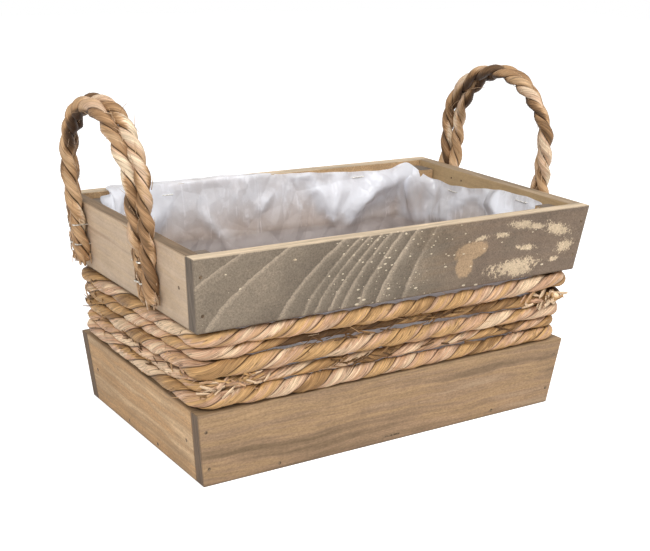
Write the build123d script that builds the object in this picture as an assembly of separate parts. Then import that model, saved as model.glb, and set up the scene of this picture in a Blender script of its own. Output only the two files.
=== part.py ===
from build123d import *
import os
from math import cos, pi, radians, sin

# A planted trug in two leaning wooden frames, one above the other. Four corner posts join
# them, rope is wound round the posts between the frames, a film liner hangs inside, and
# a plaited handle is stapled to each end. Millimetres, +X along the length, -Y the front,
# +Z up, origin in the middle of the base on the ground.

# Frames: outer size at the rim, how far each board leans in on its own height, and how far
# the lower frame's top stands in from the upper frame's foot
crate_height = 143.9
upper_board_height = 45.5
rim_length = 300.0
rim_width = 185.0
upper_end_lean_in = 5.3
upper_side_lean_in = 4.85
lower_board_height = 47.85
lower_end_set_in = 2.0
lower_side_set_in = 2.25
lower_end_lean_in = 6.2
lower_side_lean_in = 3.7
board_thickness = 9.0
board_edge_ease = 0.5

# Base panel between the lower boards
base_thickness = 8.0

# Corner posts
post_length_way = 12.0
post_width_way = 17.0
post_drop_below_rim = 4.0
post_corner_round = 5.0

# Rope wound round the posts: one unbroken rope that steps up at the back
rope_diameter = 9.6
rope_turns = 5
rope_bend_radius = 9.8
rope_step_radius = 60.0
rope_step_start_share = 0.5
rope_tail_share = 0.72
rope_clearance = 0.3
least_rope_gap = 0.4
rope_samples_a_turn = 400
rope_sample_stride = 5

# Film liner
liner_film = 0.5
liner_drop_below_rim = 1.0

# Plaited handles: a flat plait, wide face to the board at its feet and turned a quarter
# by the crown
plait_width = 20.0
plait_thickness = 9.5
plait_corner_round = 3.0
front_leg_from_front = 53.5
back_leg_from_back = 29.5
handle_foot_above_board_foot = 5.6
handle_hinge_above_rim = 6.1
left_handle_rise = 14.0
right_handle_rise = 19.0
left_handle_lean_degrees = 3.5
right_handle_lean_degrees = 0.5
plait_turn_length = 76.0
plait_stations_a_side = 12
hinge_gap = 0.3
knuckle_ease = 0.35

# Nails and staples
nail_diameter = 1.3
nail_head_diameter = 2.2
nail_head_thickness = 0.6
frame_nail_length = 25.0
post_nail_length = 17.0
base_nail_length = 24.0
frame_nail_height_shares = (0.24, 0.76)
post_nail_height_share = 0.52
base_nail_long_side_share = 0.31
base_nail_short_side_share = 0.13
staple_crown = 12.7
staple_wire = 1.1
handle_staple_bite = 6.5
high_handle_staple_below_rim = 13.9
low_handle_staple_below_rim = 26.9
base_staple_leg = 14.0
liner_staple_bite = 5.5
liner_staple_below_rim = 6.9
liner_staple_long_side_share = 0.27
liner_staple_short_side_share = 0.2

# Fits shared by all pieces
seat_gap = 0.1
soft_gap = 0.3
fastener_gap = 0.05
cut_overrun = 3.0

os.makedirs("parts", exist_ok=True)

upper_foot_height = crate_height - upper_board_height
handle_span = rim_width - front_leg_from_front - back_leg_from_back
handle_shift = (front_leg_from_front - back_leg_from_back) / 2
handle_foot_height = upper_foot_height + handle_foot_above_board_foot
handle_hinge_height = crate_height + handle_hinge_above_rim
handle_staple_heights = (
    crate_height - low_handle_staple_below_rim,
    crate_height - high_handle_staple_below_rim,
)
liner_staple_height = crate_height - liner_staple_below_rim
knuckle_radius = plait_thickness / 2 - knuckle_ease


def between(low, high, low_height, high_height, height):
    """A size that changes evenly with height."""
    return low + (high - low) * (height - low_height) / (high_height - low_height)


def upper_outer(height):
    """Half length and half width over the upper frame's outer faces."""
    drop_share = (crate_height - height) / upper_board_height
    return (
        rim_length / 2 - upper_end_lean_in * drop_share,
        rim_width / 2 - upper_side_lean_in * drop_share,
    )


def lower_outer(height):
    """Half length and half width over the lower frame's outer faces."""
    foot_x, foot_y = upper_outer(upper_foot_height)
    drop_share = (lower_board_height - height) / lower_board_height
    return (
        foot_x - lower_end_set_in - lower_end_lean_in * drop_share,
        foot_y - lower_side_set_in - lower_side_lean_in * drop_share,
    )


def post_outer(height):
    """Half length and half width over the posts, which touch the inner lower edge of both frames."""
    low_x, low_y = lower_outer(0)
    high_x, high_y = upper_outer(upper_foot_height)
    inset = board_thickness + seat_gap
    return (
        between(low_x - inset, high_x - inset, 0, upper_foot_height, height),
        between(low_y - inset, high_y - inset, 0, upper_foot_height, height),
    )


def level_rectangle(x_range, y_range, height):
    middle = Pos(sum(x_range) / 2, sum(y_range) / 2, height)
    return middle * Rectangle(x_range[1] - x_range[0], y_range[1] - y_range[0])


def slab(outline, low, high):
    """A straight-sided bar whose level outline, as X and Y ranges, is given at every height."""
    sections = [level_rectangle(*outline(height), height) for height in (low, high)]
    return loft(sections, ruled=True)


def ordered(a, b):
    return (min(a, b), max(a, b))


def eased(solid):
    return chamfer(solid.edges(), board_edge_ease)


def long_board(outer, side, low, high):
    """A front or back board, over the full length and the ends of the short boards."""

    def outline(height):
        half_x, half_y = outer(height)
        return (-half_x, half_x), ordered(side * half_y, side * (half_y - board_thickness))

    return eased(slab(outline, low, high))


def end_board(outer, side, low, high):
    """A left or right board, between the two long boards."""

    def outline(height):
        half_x, half_y = outer(height)
        inner_y = half_y - board_thickness
        return ordered(side * half_x, side * (half_x - board_thickness)), (-inner_y, inner_y)

    return eased(slab(outline, low, high))


def post_ranges(side_x, side_y, height, grow=0):
    """X and Y ranges of a corner post at a height, grown outwards on all sides if asked."""
    outer_x, outer_y = post_outer(height)
    x_range = ordered(side_x * (outer_x + grow), side_x * (outer_x - post_length_way - grow))
    y_range = ordered(side_y * (outer_y + grow), side_y * (outer_y - post_width_way - grow))
    return x_range, y_range


def corner_post(side_x, side_y):
    top = crate_height - post_drop_below_rim
    post = slab(lambda height: post_ranges(side_x, side_y, height), base_thickness, top)
    outer_edge = post.edges().filter_by(lambda edge: edge.length > post_width_way).sort_by(
        lambda edge: -side_x * edge.center().X - side_y * edge.center().Y
    )[0]
    return fillet(outer_edge, post_corner_round)


def base_panel():
    half_x, half_y = lower_outer(0)
    inset = board_thickness + seat_gap
    return slab(
        lambda height: ((inset - half_x, half_x - inset), (inset - half_y, half_y - inset)),
        0,
        base_thickness,
    )


def rope_route():
    """The rope's middle line: level round three sides, one step up along the back each turn."""
    reach = rope_clearance + rope_diameter / 2
    lowest = lower_board_height + reach
    highest = upper_foot_height - reach
    pitch = (highest - lowest) / (rope_turns - 1)
    points = []
    radii = []
    for turn in range(rope_turns):
        height = lowest + turn * pitch
        half_x, half_y = (half + reach for half in post_outer(height))
        if turn == 0:
            points.append((-half_x * rope_tail_share, half_y, height))
        for side_x, side_y in ((-1, 1), (-1, -1), (1, -1), (1, 1)):
            points.append((side_x * half_x, side_y * half_y, height))
            radii.append(rope_bend_radius)
        if turn == rope_turns - 1:
            points.append((half_x * rope_tail_share, half_y, height))
            break
        next_x, next_y = (half + reach for half in post_outer(height + pitch))
        points.append((half_x * rope_step_start_share, half_y, height))
        points.append((-next_x * rope_step_start_share, next_y, height + pitch))
        radii += [rope_step_radius, rope_step_radius]
    return FilletPolyline(*points, radius=radii)


def rope_wrap():
    route = rope_route()
    section = Plane(origin=route @ 0, z_dir=route % 0) * Circle(rope_diameter / 2)
    wound = sweep(section, path=route)
    report_rope(route, wound)
    return wound


def report_rope(route, wound):
    """Prints the rope's length, its volume against section times length, and its least gap to itself."""
    samples = rope_turns * rope_samples_a_turn
    points = [route @ (i / samples) for i in range(samples + 1)]
    apart = rope_samples_a_turn // 2
    nearest = min(
        (points[i] - points[j]).length
        for i in range(0, samples + 1, rope_sample_stride)
        for j in range(i + apart, samples + 1)
    )
    expected = pi * rope_diameter**2 / 4 * route.length
    print("rope length", round(route.length, 1), "volume share", round(wound.volume / expected, 4))
    print("rope least gap to itself", round(nearest - rope_diameter, 3), "wanted over", least_rope_gap)


def liner():
    """An open film tub, folded round the inner corners of the posts and lying on the base."""
    low = base_thickness + soft_gap
    high = crate_height - liner_drop_below_rim

    def tub(inset, start, end):
        def outline(height):
            half_x, half_y = (half - soft_gap - inset for half in post_outer(height))
            return (-half_x, half_x), (-half_y, half_y)

        block = slab(outline, start, end)
        for side_x in (-1, 1):
            for side_y in (-1, 1):
                grow = soft_gap + inset
                block -= slab(
                    lambda height: post_ranges(side_x, side_y, height, grow),
                    start - cut_overrun,
                    end + cut_overrun,
                )
        return block

    return tub(0, low, high) - tub(liner_film, low + liner_film, high + cut_overrun)


def plait_offset(height):
    """How far from the middle the plait's own middle line lies, against the end board's outside."""
    return upper_outer(height)[0] + seat_gap + plait_thickness / 2


def plait_section(width, thickness):
    return RectangleRounded(width, thickness, plait_corner_round)


def handle_leg(side_x, side_y):
    """The stapled foot of a handle, its wide face against the board, cut off below."""
    leg_y = handle_shift + side_y * handle_span / 2
    top = handle_hinge_height - knuckle_radius - hinge_gap
    sections = [
        Pos(side_x * plait_offset(height), leg_y, height) * plait_section(plait_thickness, plait_width)
        for height in (handle_foot_height, top)
    ]
    return loft(sections, ruled=True)


def handle_arch(side_x, rise, lean_degrees):
    """The free arch above the rim: straight legs and a half circle, the plait turned by a quarter."""
    radius = handle_span / 2
    lean = radians(lean_degrees)
    lean_out = Vector(-sin(lean), 0, cos(lean))
    inward = Vector(cos(lean), 0, sin(lean))
    across = Vector(0, 1, 0)
    foot = Vector(-plait_offset(handle_hinge_height), handle_shift, handle_hinge_height)
    half_length = rise + radius * pi / 2

    def station(distance, side_y):
        """A slice of the plait at a distance along the middle line from one side's hinge."""
        if distance < rise:
            along, outward = lean_out, across * side_y
            place = foot + across * (side_y * radius) + lean_out * distance
        else:
            angle = (distance - rise) / radius
            outward = across * (side_y * cos(angle)) + lean_out * sin(angle)
            along = lean_out * cos(angle) - across * (side_y * sin(angle))
            place = foot + lean_out * rise + outward * radius
        turn_share = min(distance / plait_turn_length, 1)
        turn = pi / 2 * turn_share**2 * (3 - 2 * turn_share)
        wide = outward * cos(turn) + inward * sin(turn)
        ahead = along if side_y < 0 else along * -1
        plane = Plane(origin=place, x_dir=wide, z_dir=ahead)
        return plane * plait_section(plait_width, plait_thickness)

    steps = [half_length * i / plait_stations_a_side for i in range(plait_stations_a_side + 1)]
    sections = [station(step, -1) for step in steps]
    sections += [station(step, 1) for step in reversed(steps[:-1])]
    arch = loft(sections)
    for side_y in (-1, 1):
        middle = foot + across * (side_y * radius)
        knuckle = Cylinder(knuckle_radius, plait_width - 2 * plait_corner_round)
        arch += Pos(*middle) * Rot(X=90) * knuckle
    return arch if side_x < 0 else mirror(arch, about=Plane.YZ)


def outward_plane(place, outward):
    """A work plane on a face, looking outwards, with its X direction level."""
    level = Vector(-outward[1], outward[0], 0)
    return Plane(origin=place, x_dir=level, z_dir=outward)


def nail(plane, length, gap=0):
    """A nail driven flush; a gap all round turns it into its hole."""
    head_depth = nail_head_thickness + gap
    head_height = head_depth + (cut_overrun if gap else 0)
    shank_depth = length + gap
    head = Pos(0, 0, -head_depth) * Cylinder(
        nail_head_diameter / 2 + gap, head_height, align=(Align.CENTER, Align.CENTER, Align.MIN)
    )
    shank = Pos(0, 0, -shank_depth) * Cylinder(
        nail_diameter / 2 + gap, shank_depth, align=(Align.CENTER, Align.CENTER, Align.MIN)
    )
    return plane * (head + shank)


def staple(plane, leg, sunk, gap=0):
    """A flat-crowned staple with two legs; a gap all round turns it into its holes."""
    size = staple_wire + 2 * gap
    low_end = (Align.CENTER, Align.CENTER, Align.MIN)
    crown_height = size + (cut_overrun if gap else 0)
    shape = Pos(0, 0, -gap - sunk) * Box(staple_crown + 2 * gap, size, crown_height, align=low_end)
    for side in (-1, 1):
        leg_x = side * (staple_crown - staple_wire) / 2
        length = leg + gap + staple_wire / 2
        shape += Pos(leg_x, 0, -leg - gap - sunk) * Box(size, size, length, align=low_end)
    return plane * shape


def drive(boards, places, tool, *sizes):
    """Makes a fastener at every place, and its hole in each named piece that it passes through."""
    made = []
    for plane, names in places:
        for name in names:
            boards[name] -= tool(plane, *sizes, gap=fastener_gap)
        made.append(tool(plane, *sizes))
    return Compound(children=made)


def frame_nail_places(level, outer, low, high):
    """Nails through the long boards into the ends of the short boards."""
    places = []
    for share in frame_nail_height_shares:
        height = low + (high - low) * share
        half_x, half_y = outer(height)
        for side_y, long_name in ((-1, "front"), (1, "back")):
            for side_x, end_name in ((-1, "left"), (1, "right")):
                place = (side_x * (half_x - board_thickness / 2), side_y * half_y, height)
                names = (f"{level}_{long_name}_board", f"{level}_{end_name}_board")
                places.append((outward_plane(place, (0, side_y, 0)), names))
    return places


def post_nail_places():
    """Nails through the end boards into the posts, one a frame at each corner."""
    places = []
    spans = (("lower", lower_outer, 0, lower_board_height),)
    spans += (("upper", upper_outer, upper_foot_height, crate_height),)
    for level, outer, low, high in spans:
        height = low + (high - low) * post_nail_height_share
        for side_x, end_name in ((-1, "left"), (1, "right")):
            for side_y, long_name in ((-1, "front"), (1, "back")):
                post_y = post_outer(height)[1] - post_width_way / 2
                place = (side_x * outer(height)[0], side_y * post_y, height)
                names = (f"{level}_{end_name}_board", f"{long_name}_{end_name}_post")
                places.append((outward_plane(place, (side_x, 0, 0)), names))
    return places


def base_nail_places():
    """Nails through the lower boards into the edges of the base panel."""
    places = []
    height = base_thickness / 2
    half_x, half_y = lower_outer(height)
    foot_x, foot_y = lower_outer(0)
    for side in (-1, 1):
        for way in (-1, 1):
            long_place = (way * base_nail_long_side_share * 2 * foot_x, side * half_y, height)
            short_place = (side * half_x, way * base_nail_short_side_share * 2 * foot_y, height)
            long_name = "lower_front_board" if side < 0 else "lower_back_board"
            short_name = "lower_left_board" if side < 0 else "lower_right_board"
            places.append((outward_plane(long_place, (0, side, 0)), (long_name, "base_panel")))
            places.append((outward_plane(short_place, (side, 0, 0)), (short_name, "base_panel")))
    return places


def base_staple_places():
    """One staple in the middle of each long side, into the base panel."""
    height = base_thickness / 2
    half_y = lower_outer(height)[1]
    return [
        (outward_plane((0, side * half_y, height), (0, side, 0)), (name, "base_panel"))
        for side, name in ((-1, "lower_front_board"), (1, "lower_back_board"))
    ]


def handle_staple_places(side_x, end_name):
    """Two staples over each foot of one handle, through the plait into the end board."""
    places = []
    for side_y, leg_name in ((-1, "front"), (1, "back")):
        leg_y = handle_shift + side_y * handle_span / 2
        for height in handle_staple_heights:
            face_x = plait_offset(height) + plait_thickness / 2 + seat_gap
            names = (f"{end_name}_handle_{leg_name}_leg", f"upper_{end_name}_board")
            places.append((outward_plane((side_x * face_x, leg_y, height), (side_x, 0, 0)), names))
    return places


def liner_staple_places():
    """Staples from inside, through the film into the upper boards."""
    height = liner_staple_height
    film_x, film_y = (half - soft_gap - liner_film - seat_gap for half in post_outer(height))
    places = []
    for side in (-1, 1):
        long_name = "upper_front_board" if side < 0 else "upper_back_board"
        end_name = "upper_left_board" if side < 0 else "upper_right_board"
        for way in (-1, 1):
            along = way * liner_staple_long_side_share * rim_length
            across = way * liner_staple_short_side_share * rim_width
            long_plane = outward_plane((along, side * film_y, height), (0, -side, 0))
            end_plane = outward_plane((side * film_x, across, height), (-side, 0, 0))
            places.append((long_plane, ("liner", long_name)))
            places.append((end_plane, ("liner", end_name)))
    return places


pieces = {}
frames = (("lower", lower_outer, 0, lower_board_height),)
frames += (("upper", upper_outer, upper_foot_height, crate_height),)
for level, outer, low, high in frames:
    pieces[f"{level}_front_board"] = long_board(outer, -1, low, high)
    pieces[f"{level}_back_board"] = long_board(outer, 1, low, high)
    pieces[f"{level}_left_board"] = end_board(outer, -1, low, high)
    pieces[f"{level}_right_board"] = end_board(outer, 1, low, high)
for side_x, end_name in ((-1, "left"), (1, "right")):
    for side_y, long_name in ((-1, "front"), (1, "back")):
        pieces[f"{long_name}_{end_name}_post"] = corner_post(side_x, side_y)
        pieces[f"{end_name}_handle_{long_name}_leg"] = handle_leg(side_x, side_y)
pieces["base_panel"] = base_panel()
pieces["rope_wrap"] = rope_wrap()
pieces["liner"] = liner()
pieces["left_handle_arch"] = handle_arch(-1, left_handle_rise, left_handle_lean_degrees)
pieces["right_handle_arch"] = handle_arch(1, right_handle_rise, right_handle_lean_degrees)

for level, outer, low, high in frames:
    pieces[f"{level}_frame_nails"] = drive(
        pieces, frame_nail_places(level, outer, low, high), nail, frame_nail_length
    )
pieces["post_nails"] = drive(pieces, post_nail_places(), nail, post_nail_length)
pieces["base_nails"] = drive(pieces, base_nail_places(), nail, base_nail_length)
pieces["base_staples"] = drive(
    pieces, base_staple_places(), staple, base_staple_leg, staple_wire
)
handle_staple_leg = plait_thickness + 2 * seat_gap + handle_staple_bite
for side_x, end_name in ((-1, "left"), (1, "right")):
    pieces[f"{end_name}_handle_staples"] = drive(
        pieces, handle_staple_places(side_x, end_name), staple, handle_staple_leg, 0
    )
board_faces = upper_outer(liner_staple_height)
film_faces = post_outer(liner_staple_height)
film_to_board = max(board - film for board, film in zip(board_faces, film_faces)) - board_thickness
liner_staple_leg = film_to_board + soft_gap + liner_film + liner_staple_bite
pieces["liner_staples"] = drive(pieces, liner_staple_places(), staple, liner_staple_leg, 0)

for name, piece in pieces.items():
    export_step(piece, f"parts/{name}.step")
print("nodes", len(pieces))
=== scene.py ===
# %% [markdown]
# # A rope-wound trug with plaited handles
# The real thing is a small crate of two leaning pine frames, one above the other, with rope
# wound round four corner posts between them, a plastic film liner and two handles plaited
# from dried leaf. The CAD model holds its sizes and its moving parts. This lesson dresses it:
# wood gets its grain, and the rope, the plaits and the film are modelled anew, because soft
# and wound things look wrong as plain solids.

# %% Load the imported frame
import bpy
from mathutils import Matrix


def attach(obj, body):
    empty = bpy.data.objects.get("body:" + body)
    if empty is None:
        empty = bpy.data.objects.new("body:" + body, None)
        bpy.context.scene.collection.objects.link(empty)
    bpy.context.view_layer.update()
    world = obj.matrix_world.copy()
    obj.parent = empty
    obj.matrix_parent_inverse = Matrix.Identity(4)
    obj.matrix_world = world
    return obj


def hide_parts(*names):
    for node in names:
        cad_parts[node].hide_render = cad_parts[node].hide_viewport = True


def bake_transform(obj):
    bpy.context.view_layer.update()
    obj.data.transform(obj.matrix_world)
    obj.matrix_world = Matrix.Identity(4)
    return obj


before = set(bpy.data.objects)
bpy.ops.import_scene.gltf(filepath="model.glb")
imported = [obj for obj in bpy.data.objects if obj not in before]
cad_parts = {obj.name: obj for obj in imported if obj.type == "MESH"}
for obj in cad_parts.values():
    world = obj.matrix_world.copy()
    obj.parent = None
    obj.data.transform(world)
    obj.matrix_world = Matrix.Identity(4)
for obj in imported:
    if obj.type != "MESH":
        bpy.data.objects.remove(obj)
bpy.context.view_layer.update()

from math import cos, pi, radians, sin

import bpy
import numpy as np
from mathutils import Matrix, Vector

bpy.ops.object.select_all(action="DESELECT")
mm = 0.001

# %% [markdown]
# ## The camera
# A long lens from the front left and a little above gives the calm look of a catalogue
# picture. The camera is described as a photographer would: how far round, how high, how far
# away and how much it leans. Those make its three axes, and the axes make its matrix.

# %% Place the camera
azimuth, elevation, lean = radians(-33.87), radians(16.60), radians(1.98)
distance, shift_right, shift_up = 845.8 * mm, 2.1 * mm, 86.2 * mm
image_width, focal_pixels, sensor_width = 650, 1203.5, 36.0

backward = Vector((sin(azimuth) * cos(elevation), -cos(azimuth) * cos(elevation), sin(elevation)))
level_right = Vector((cos(azimuth), sin(azimuth), 0))
level_up = backward.cross(level_right)
right = level_right * cos(lean) + level_up * sin(lean)
up = level_up * cos(lean) - level_right * sin(lean)
standpoint = backward * distance + right * shift_right + up * shift_up

lens = bpy.data.cameras.new("camera")
lens.sensor_width = sensor_width
lens.lens = focal_pixels / image_width * sensor_width
camera = bpy.data.objects.new("camera", lens)
camera.matrix_world = Matrix.Translation(standpoint) @ Matrix((right, up, backward)).transposed().to_4x4()
bpy.context.scene.collection.objects.link(camera)
bpy.context.scene.camera = camera
print("camera at", [round(v, 4) for v in standpoint], "lens", round(lens.lens, 2), "mm")

# %% [markdown]
# ## Small tools for materials
# Colours are written as the hex values that a paint chart or an image editor shows. Blender
# works in linear light, so one function turns them. Another adds a node, sets it and feeds
# its sockets, so that a material reads from top to bottom like a recipe. What goes into a
# node stands in brackets in the order of its sockets, or by name where only some are set.

# %% Colour and node helpers
def hue(code):
    """A linear colour from an sRGB hex code."""
    channels = [int(code[i:i + 2], 16) / 255 for i in (0, 2, 4)]
    linear = [c / 12.92 if c <= 0.04045 else ((c + 0.055) / 1.055) ** 2.4 for c in channels]
    return (*linear, 1.0)


def grey(value):
    """A linear grey."""
    return (value, value, value, 1.0)


def feed(tree, node, inputs):
    """Gives a node's sockets their numbers, colours or links, by name or in order."""
    in_use = [socket for socket in node.inputs if socket.enabled]
    for key, value in inputs.items() if isinstance(inputs, dict) else enumerate(inputs):
        socket = in_use[key] if isinstance(key, int) else node.inputs[key]
        if isinstance(value, bpy.types.Node):
            value = next(way for way in value.outputs if way.enabled)
        if isinstance(value, bpy.types.NodeSocket):
            tree.links.new(value, socket)
        else:
            socket.default_value = value


def add(tree, kind, inputs=(), stops=(), **settings):
    """Adds one node: its settings, then what its sockets get, then a ramp's stops."""
    made = tree.nodes.new("ShaderNode" + kind)
    for key, value in settings.items():
        setattr(made, key, value)
    feed(tree, made, inputs)
    if stops:
        ramp = made.color_ramp.elements
        while len(ramp) < len(stops):
            ramp.new(1.0)
        for element, (place, colour) in zip(ramp, stops):
            element.position, element.color = place, colour
    return made


def new_material(name, shader_sockets):
    """An empty material with its surface shader, ready for a recipe."""
    material = bpy.data.materials.new(name)
    material.use_nodes = True
    tree = material.node_tree
    tree.nodes.clear()
    shader = add(tree, "BsdfPrincipled", shader_sockets)
    add(tree, "OutputMaterial", {"Surface": shader})
    return material, tree, shader


# %% [markdown]
# ## Pine boards
# The boards are thin sawn pine, stained and brushed so that they look old. Four things make
# sawn wood read as wood: long streaks along the grain, broader patches of stain, a planed
# top edge with darker sawn ends, and dark lines along the edges where the boards meet the
# floor and the rope, partly dirt and partly painted shade. All four are mixed in one recipe
# that every board shares. It works in the board's own directions, so the end boards turn it
# by a quarter.

# %% Two things that wood and leaf share: tone and fibres
def toned(tree, colour, tone):
    """A colour made lighter or darker by a number."""
    spread = add(tree, "CombineXYZ", (tone, tone, tone))
    return add(tree, "Mix", (1.0, colour, spread), data_type="RGBA", blend_type="MULTIPLY")


def fibres(tree, place, stretch, detail, roughness=0.5):
    """Noise with so many grains a metre each way: long streaks where the three differ."""
    stretched = add(tree, "VectorMath", (place, stretch), operation="MULTIPLY")
    noise = {"Vector": stretched, "Scale": 1, "Detail": detail, "Roughness": roughness}
    return add(tree, "TexNoise", noise)


# %% The recipe for sawn pine
def pine(name, along_ends, tints, coarse=1.0):
    """Stained pine, sawn and brushed: streaky, dull and a little furry to the light."""
    dull = {"Roughness": 0.72, "IOR": 1.5, "Specular IOR Level": 0.3}
    material, tree, shader = new_material(name, dull)
    place = add(tree, "TexCoord").outputs["Object"]
    if along_ends:
        place = add(tree, "Mapping", {"Vector": place, "Rotation": (0, 0, pi / 2)})

    # grain: streaks 1 to 3 mm high that run on for 60 mm or more, and bands 10 mm high
    wander = add(tree, "TexNoise", {"Vector": place, "Scale": 14, "Detail": 2})
    bent = add(tree, "VectorMath", (wander.outputs["Color"], (0, 0.006, 0.011)), operation="MULTIPLY")
    moved = add(tree, "VectorMath", (place, bent), operation="ADD")
    streak = fibres(tree, moved, (9, 300, 420), 4, 0.7)
    band = fibres(tree, moved, (6, 70, 95), 3, 0.6)
    stain = add(tree, "TexNoise", {"Vector": place, "Scale": 26, "Detail": 5, "Roughness": 0.7})
    # sawn fibres stand up as a grit about 1 mm long
    grit = fibres(tree, place, (500, 1000, 1000), 2, 0.7)

    pale, mid, dark, warm = (hue(tint) for tint in tints.split())
    stops = [(0.30, dark), (0.42, mid), (0.50, warm), (0.58, mid), (0.70, pale)]
    face = add(tree, "ValToRGB", {"Fac": band}, stops)
    fine = add(tree, "MapRange", (streak, 0.3, 0.7, 1 - 0.22 * coarse, 1 + 0.17 * coarse))
    patches = add(tree, "MapRange", (stain, 0.3, 0.7, 0.86, 1.1))
    grain = add(tree, "MapRange", (grit, 0.3, 0.7, 1 - 0.2 * coarse, 1 + 0.16 * coarse))
    tone = add(tree, "Math", (fine, patches), operation="MULTIPLY")
    tone = add(tree, "Math", (tone, grain), operation="MULTIPLY")
    parts = {"place": place, "streak": streak, "stain": stain, "grit": grit}
    parts.update(tone=tone, relief=streak)
    return material, tree, shader, face, parts


# %% The edges, the ends, and the dirt and painted shade along edges
def near_height(tree, place, height, reach):
    """1 at a height and 0 past a reach from it, both in mm: for dirt and painted shade along an edge."""
    level = add(tree, "SeparateXYZ", {"Vector": place}).outputs["Z"]
    off = add(tree, "Math", (level, height * mm), operation="SUBTRACT")
    off = add(tree, "Math", (off,), operation="ABSOLUTE")
    return add(tree, "MapRange", (off, 0.0, reach * mm, 1.0, 0.0))


def finish_pine(tree, shader, colour, parts, top, end_grain, dirt_and_shade, bump_height=0.3):
    """Adds the planed top edge, the sawn ends, dark lines of dirt and painted shade along the edges, and
    the brushed relief.
    """
    place, tone = parts["place"], parts["tone"]
    normal = add(tree, "NewGeometry").outputs["Normal"]
    colour = toned(tree, colour, tone)
    facing = add(tree, "SeparateXYZ", {"Vector": normal})
    upward = add(tree, "MapRange", (facing.outputs["Z"], 0.55, 0.8))
    edge_tone = add(tree, "MapRange", (parts["streak"], 0.3, 0.7, 0.74, 1.12))
    edge_tone = add(tree, "Math", (edge_tone, edge_tone), operation="MULTIPLY")
    colour = add(tree, "Mix", (upward, colour, toned(tree, hue(top), edge_tone)), data_type="RGBA")
    if parts["inside"]:
        # the inner faces were never washed or weathered, so they kept the wood's own gold
        from_middle = add(tree, "TexCoord").outputs["Object"]
        outward = add(tree, "VectorMath", (normal, from_middle), operation="DOT_PRODUCT")
        inner = add(tree, "MapRange", (outward, -0.03, -0.06))
        golden = toned(tree, hue(parts["inside"]), tone)
        colour = add(tree, "Mix", (inner, colour, golden), data_type="RGBA")
    # dark lines along edges: dirt, and painted shade where a board meets the floor and where it meets the
    # rope
    for height, reach, share in dirt_and_shade:
        line = add(tree, "Math", (near_height(tree, place, height, reach), share), operation="MULTIPLY")
        colour = add(tree, "Mix", (line, colour, hue("4a3b2e")), data_type="RGBA")
    # sawn ends: growth rings cut across, as upright stripes about 1 mm apart
    ring_tone = add(tree, "MapRange", (fibres(tree, place, (40, 1100, 45), 2), 0.35, 0.65, 0.62, 1.2))
    turned_out = add(tree, "VectorMath", (normal, parts["along"]), operation="DOT_PRODUCT")
    turned_out = add(tree, "Math", (turned_out,), operation="ABSOLUTE")
    sawn = add(tree, "MapRange", (turned_out, 0.6, 0.8))
    colour = add(tree, "Mix", (sawn, colour, toned(tree, hue(end_grain), ring_tone)), data_type="RGBA")
    relief = add(tree, "Math", (parts["grit"], 0.8, parts["relief"]), operation="MULTIPLY_ADD")
    bump = add(tree, "Bump", {"Height": relief, "Strength": 0.5, "Distance": bump_height * mm})
    feed(tree, shader, {"Normal": bump, "Base Color": colour})


# %% Finishes for the lower frame, the upper ends and the posts
def plain_pine(name, along_ends, tints, top, end_grain, dirt_and_shade=(), along=None, coarse=1.0, inside=None):
    """Pine as sawn. Its tints are pale, middle, dark and warm, and the grain runs along."""
    material, tree, shader, colour, parts = pine(name, along_ends, tints, coarse)
    parts["inside"] = inside
    parts["along"] = along or ((0, 1, 0) if along_ends else (1, 0, 0))
    finish_pine(tree, shader, colour, parts, top, end_grain, dirt_and_shade)
    return material


# lines of dirt and painted shade, at the foot and where the boards meet the rope: height, reach either way
# in mm, and strength
lower_dirt_and_shade = ((0, 1.6, 0.75), (0, 6, 0.25), (47.85, 2.2, 0.25))
upper_dirt_and_shade = ((98.4, 1.6, 0.5), (98.4, 6, 0.15))
side_tints, end_tints = "a98f72 957a5f 7a644b a08361", "c8aa86 ae8f6c 836a4b b8936a"
washed_tints, post_tints = "c4ae96 b8a28b a78f77 bca489", "c0a382 a98d6d 8d7355 b09069"
lower_side_pine = plain_pine("stained_pine_lower_sides", False, side_tints, "a48968", "655342", lower_dirt_and_shade)
lower_end_pine = plain_pine("stained_pine_lower_ends", True, end_tints, "a88c6b", "5f4e3e", lower_dirt_and_shade)
# the left end's top edge took up more stain than the right one's
left_end_pine, right_end_pine = (
    plain_pine(name, True, washed_tints, top, "6c6053", upper_dirt_and_shade, coarse=0.45, inside="b0956f")
    for name, top in (("washed_pine_left_end", "7c6750"), ("washed_pine_right_end", "a89277"))
)
post_pine = plain_pine("plain_pine_posts", False, post_tints, "cdb290", "75685b", along=(0, 0, 1))
print("pine finishes:", [m.name for m in bpy.data.materials if "pine" in m.name])

# %% [markdown]
# ## The upper front board
# This board was sawn across a wide growth cone, so its rings run up and to the right in long
# curves. Each ring starts with a thin pale line and darkens slowly to the next. One formula
# turns a place on the board into a distance across the rings, and a ramp colours that
# distance. Over it lie the marks of use: cream scuffs, a tan oval and small pale chips.

# %% Where the rings start, and the marks of use
ring_starts = (-180, -140, -92, -76, -67, -57, -48, -36, -22, -2)
ring_low, ring_high = -215.0, 35.0
board_foot, board_rise, front_face_y = 98, 46, -90
# each mark: its place along and up, its half sizes in mm, and its turn in degrees
scuffs = (
    (90, 137.0, 11.5, 3.0, -9), (103, 134.3, 9, 2.2, -7), (123, 130.4, 12, 4.2, -15),
    (57.5, 131.3, 6, 1.6, 10), (74, 131.5, 6.5, 1.9, -6), (131.5, 117.3, 7.0, 4.6, 10),
    (123.6, 108.8, 4.4, 2.0, 0), (88, 107.9, 21, 5.2, 3), (94, 103.6, 11, 3.4, 0),
    (97, 120.4, 8, 2.1, -8), (-83.5, 135.4, 1.3, 0.9, 0),
)
stains = ((50, 123.6, 14.5, 6.8, 7), (45.5, 114.0, 7.6, 9.0, 12))
shadows = ((82, 125, 13, 9, 0), (12, 103, 30, 5, 0), (-60, 118, 30, 14, 40), (20, 132, 20, 8, 20))


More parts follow.
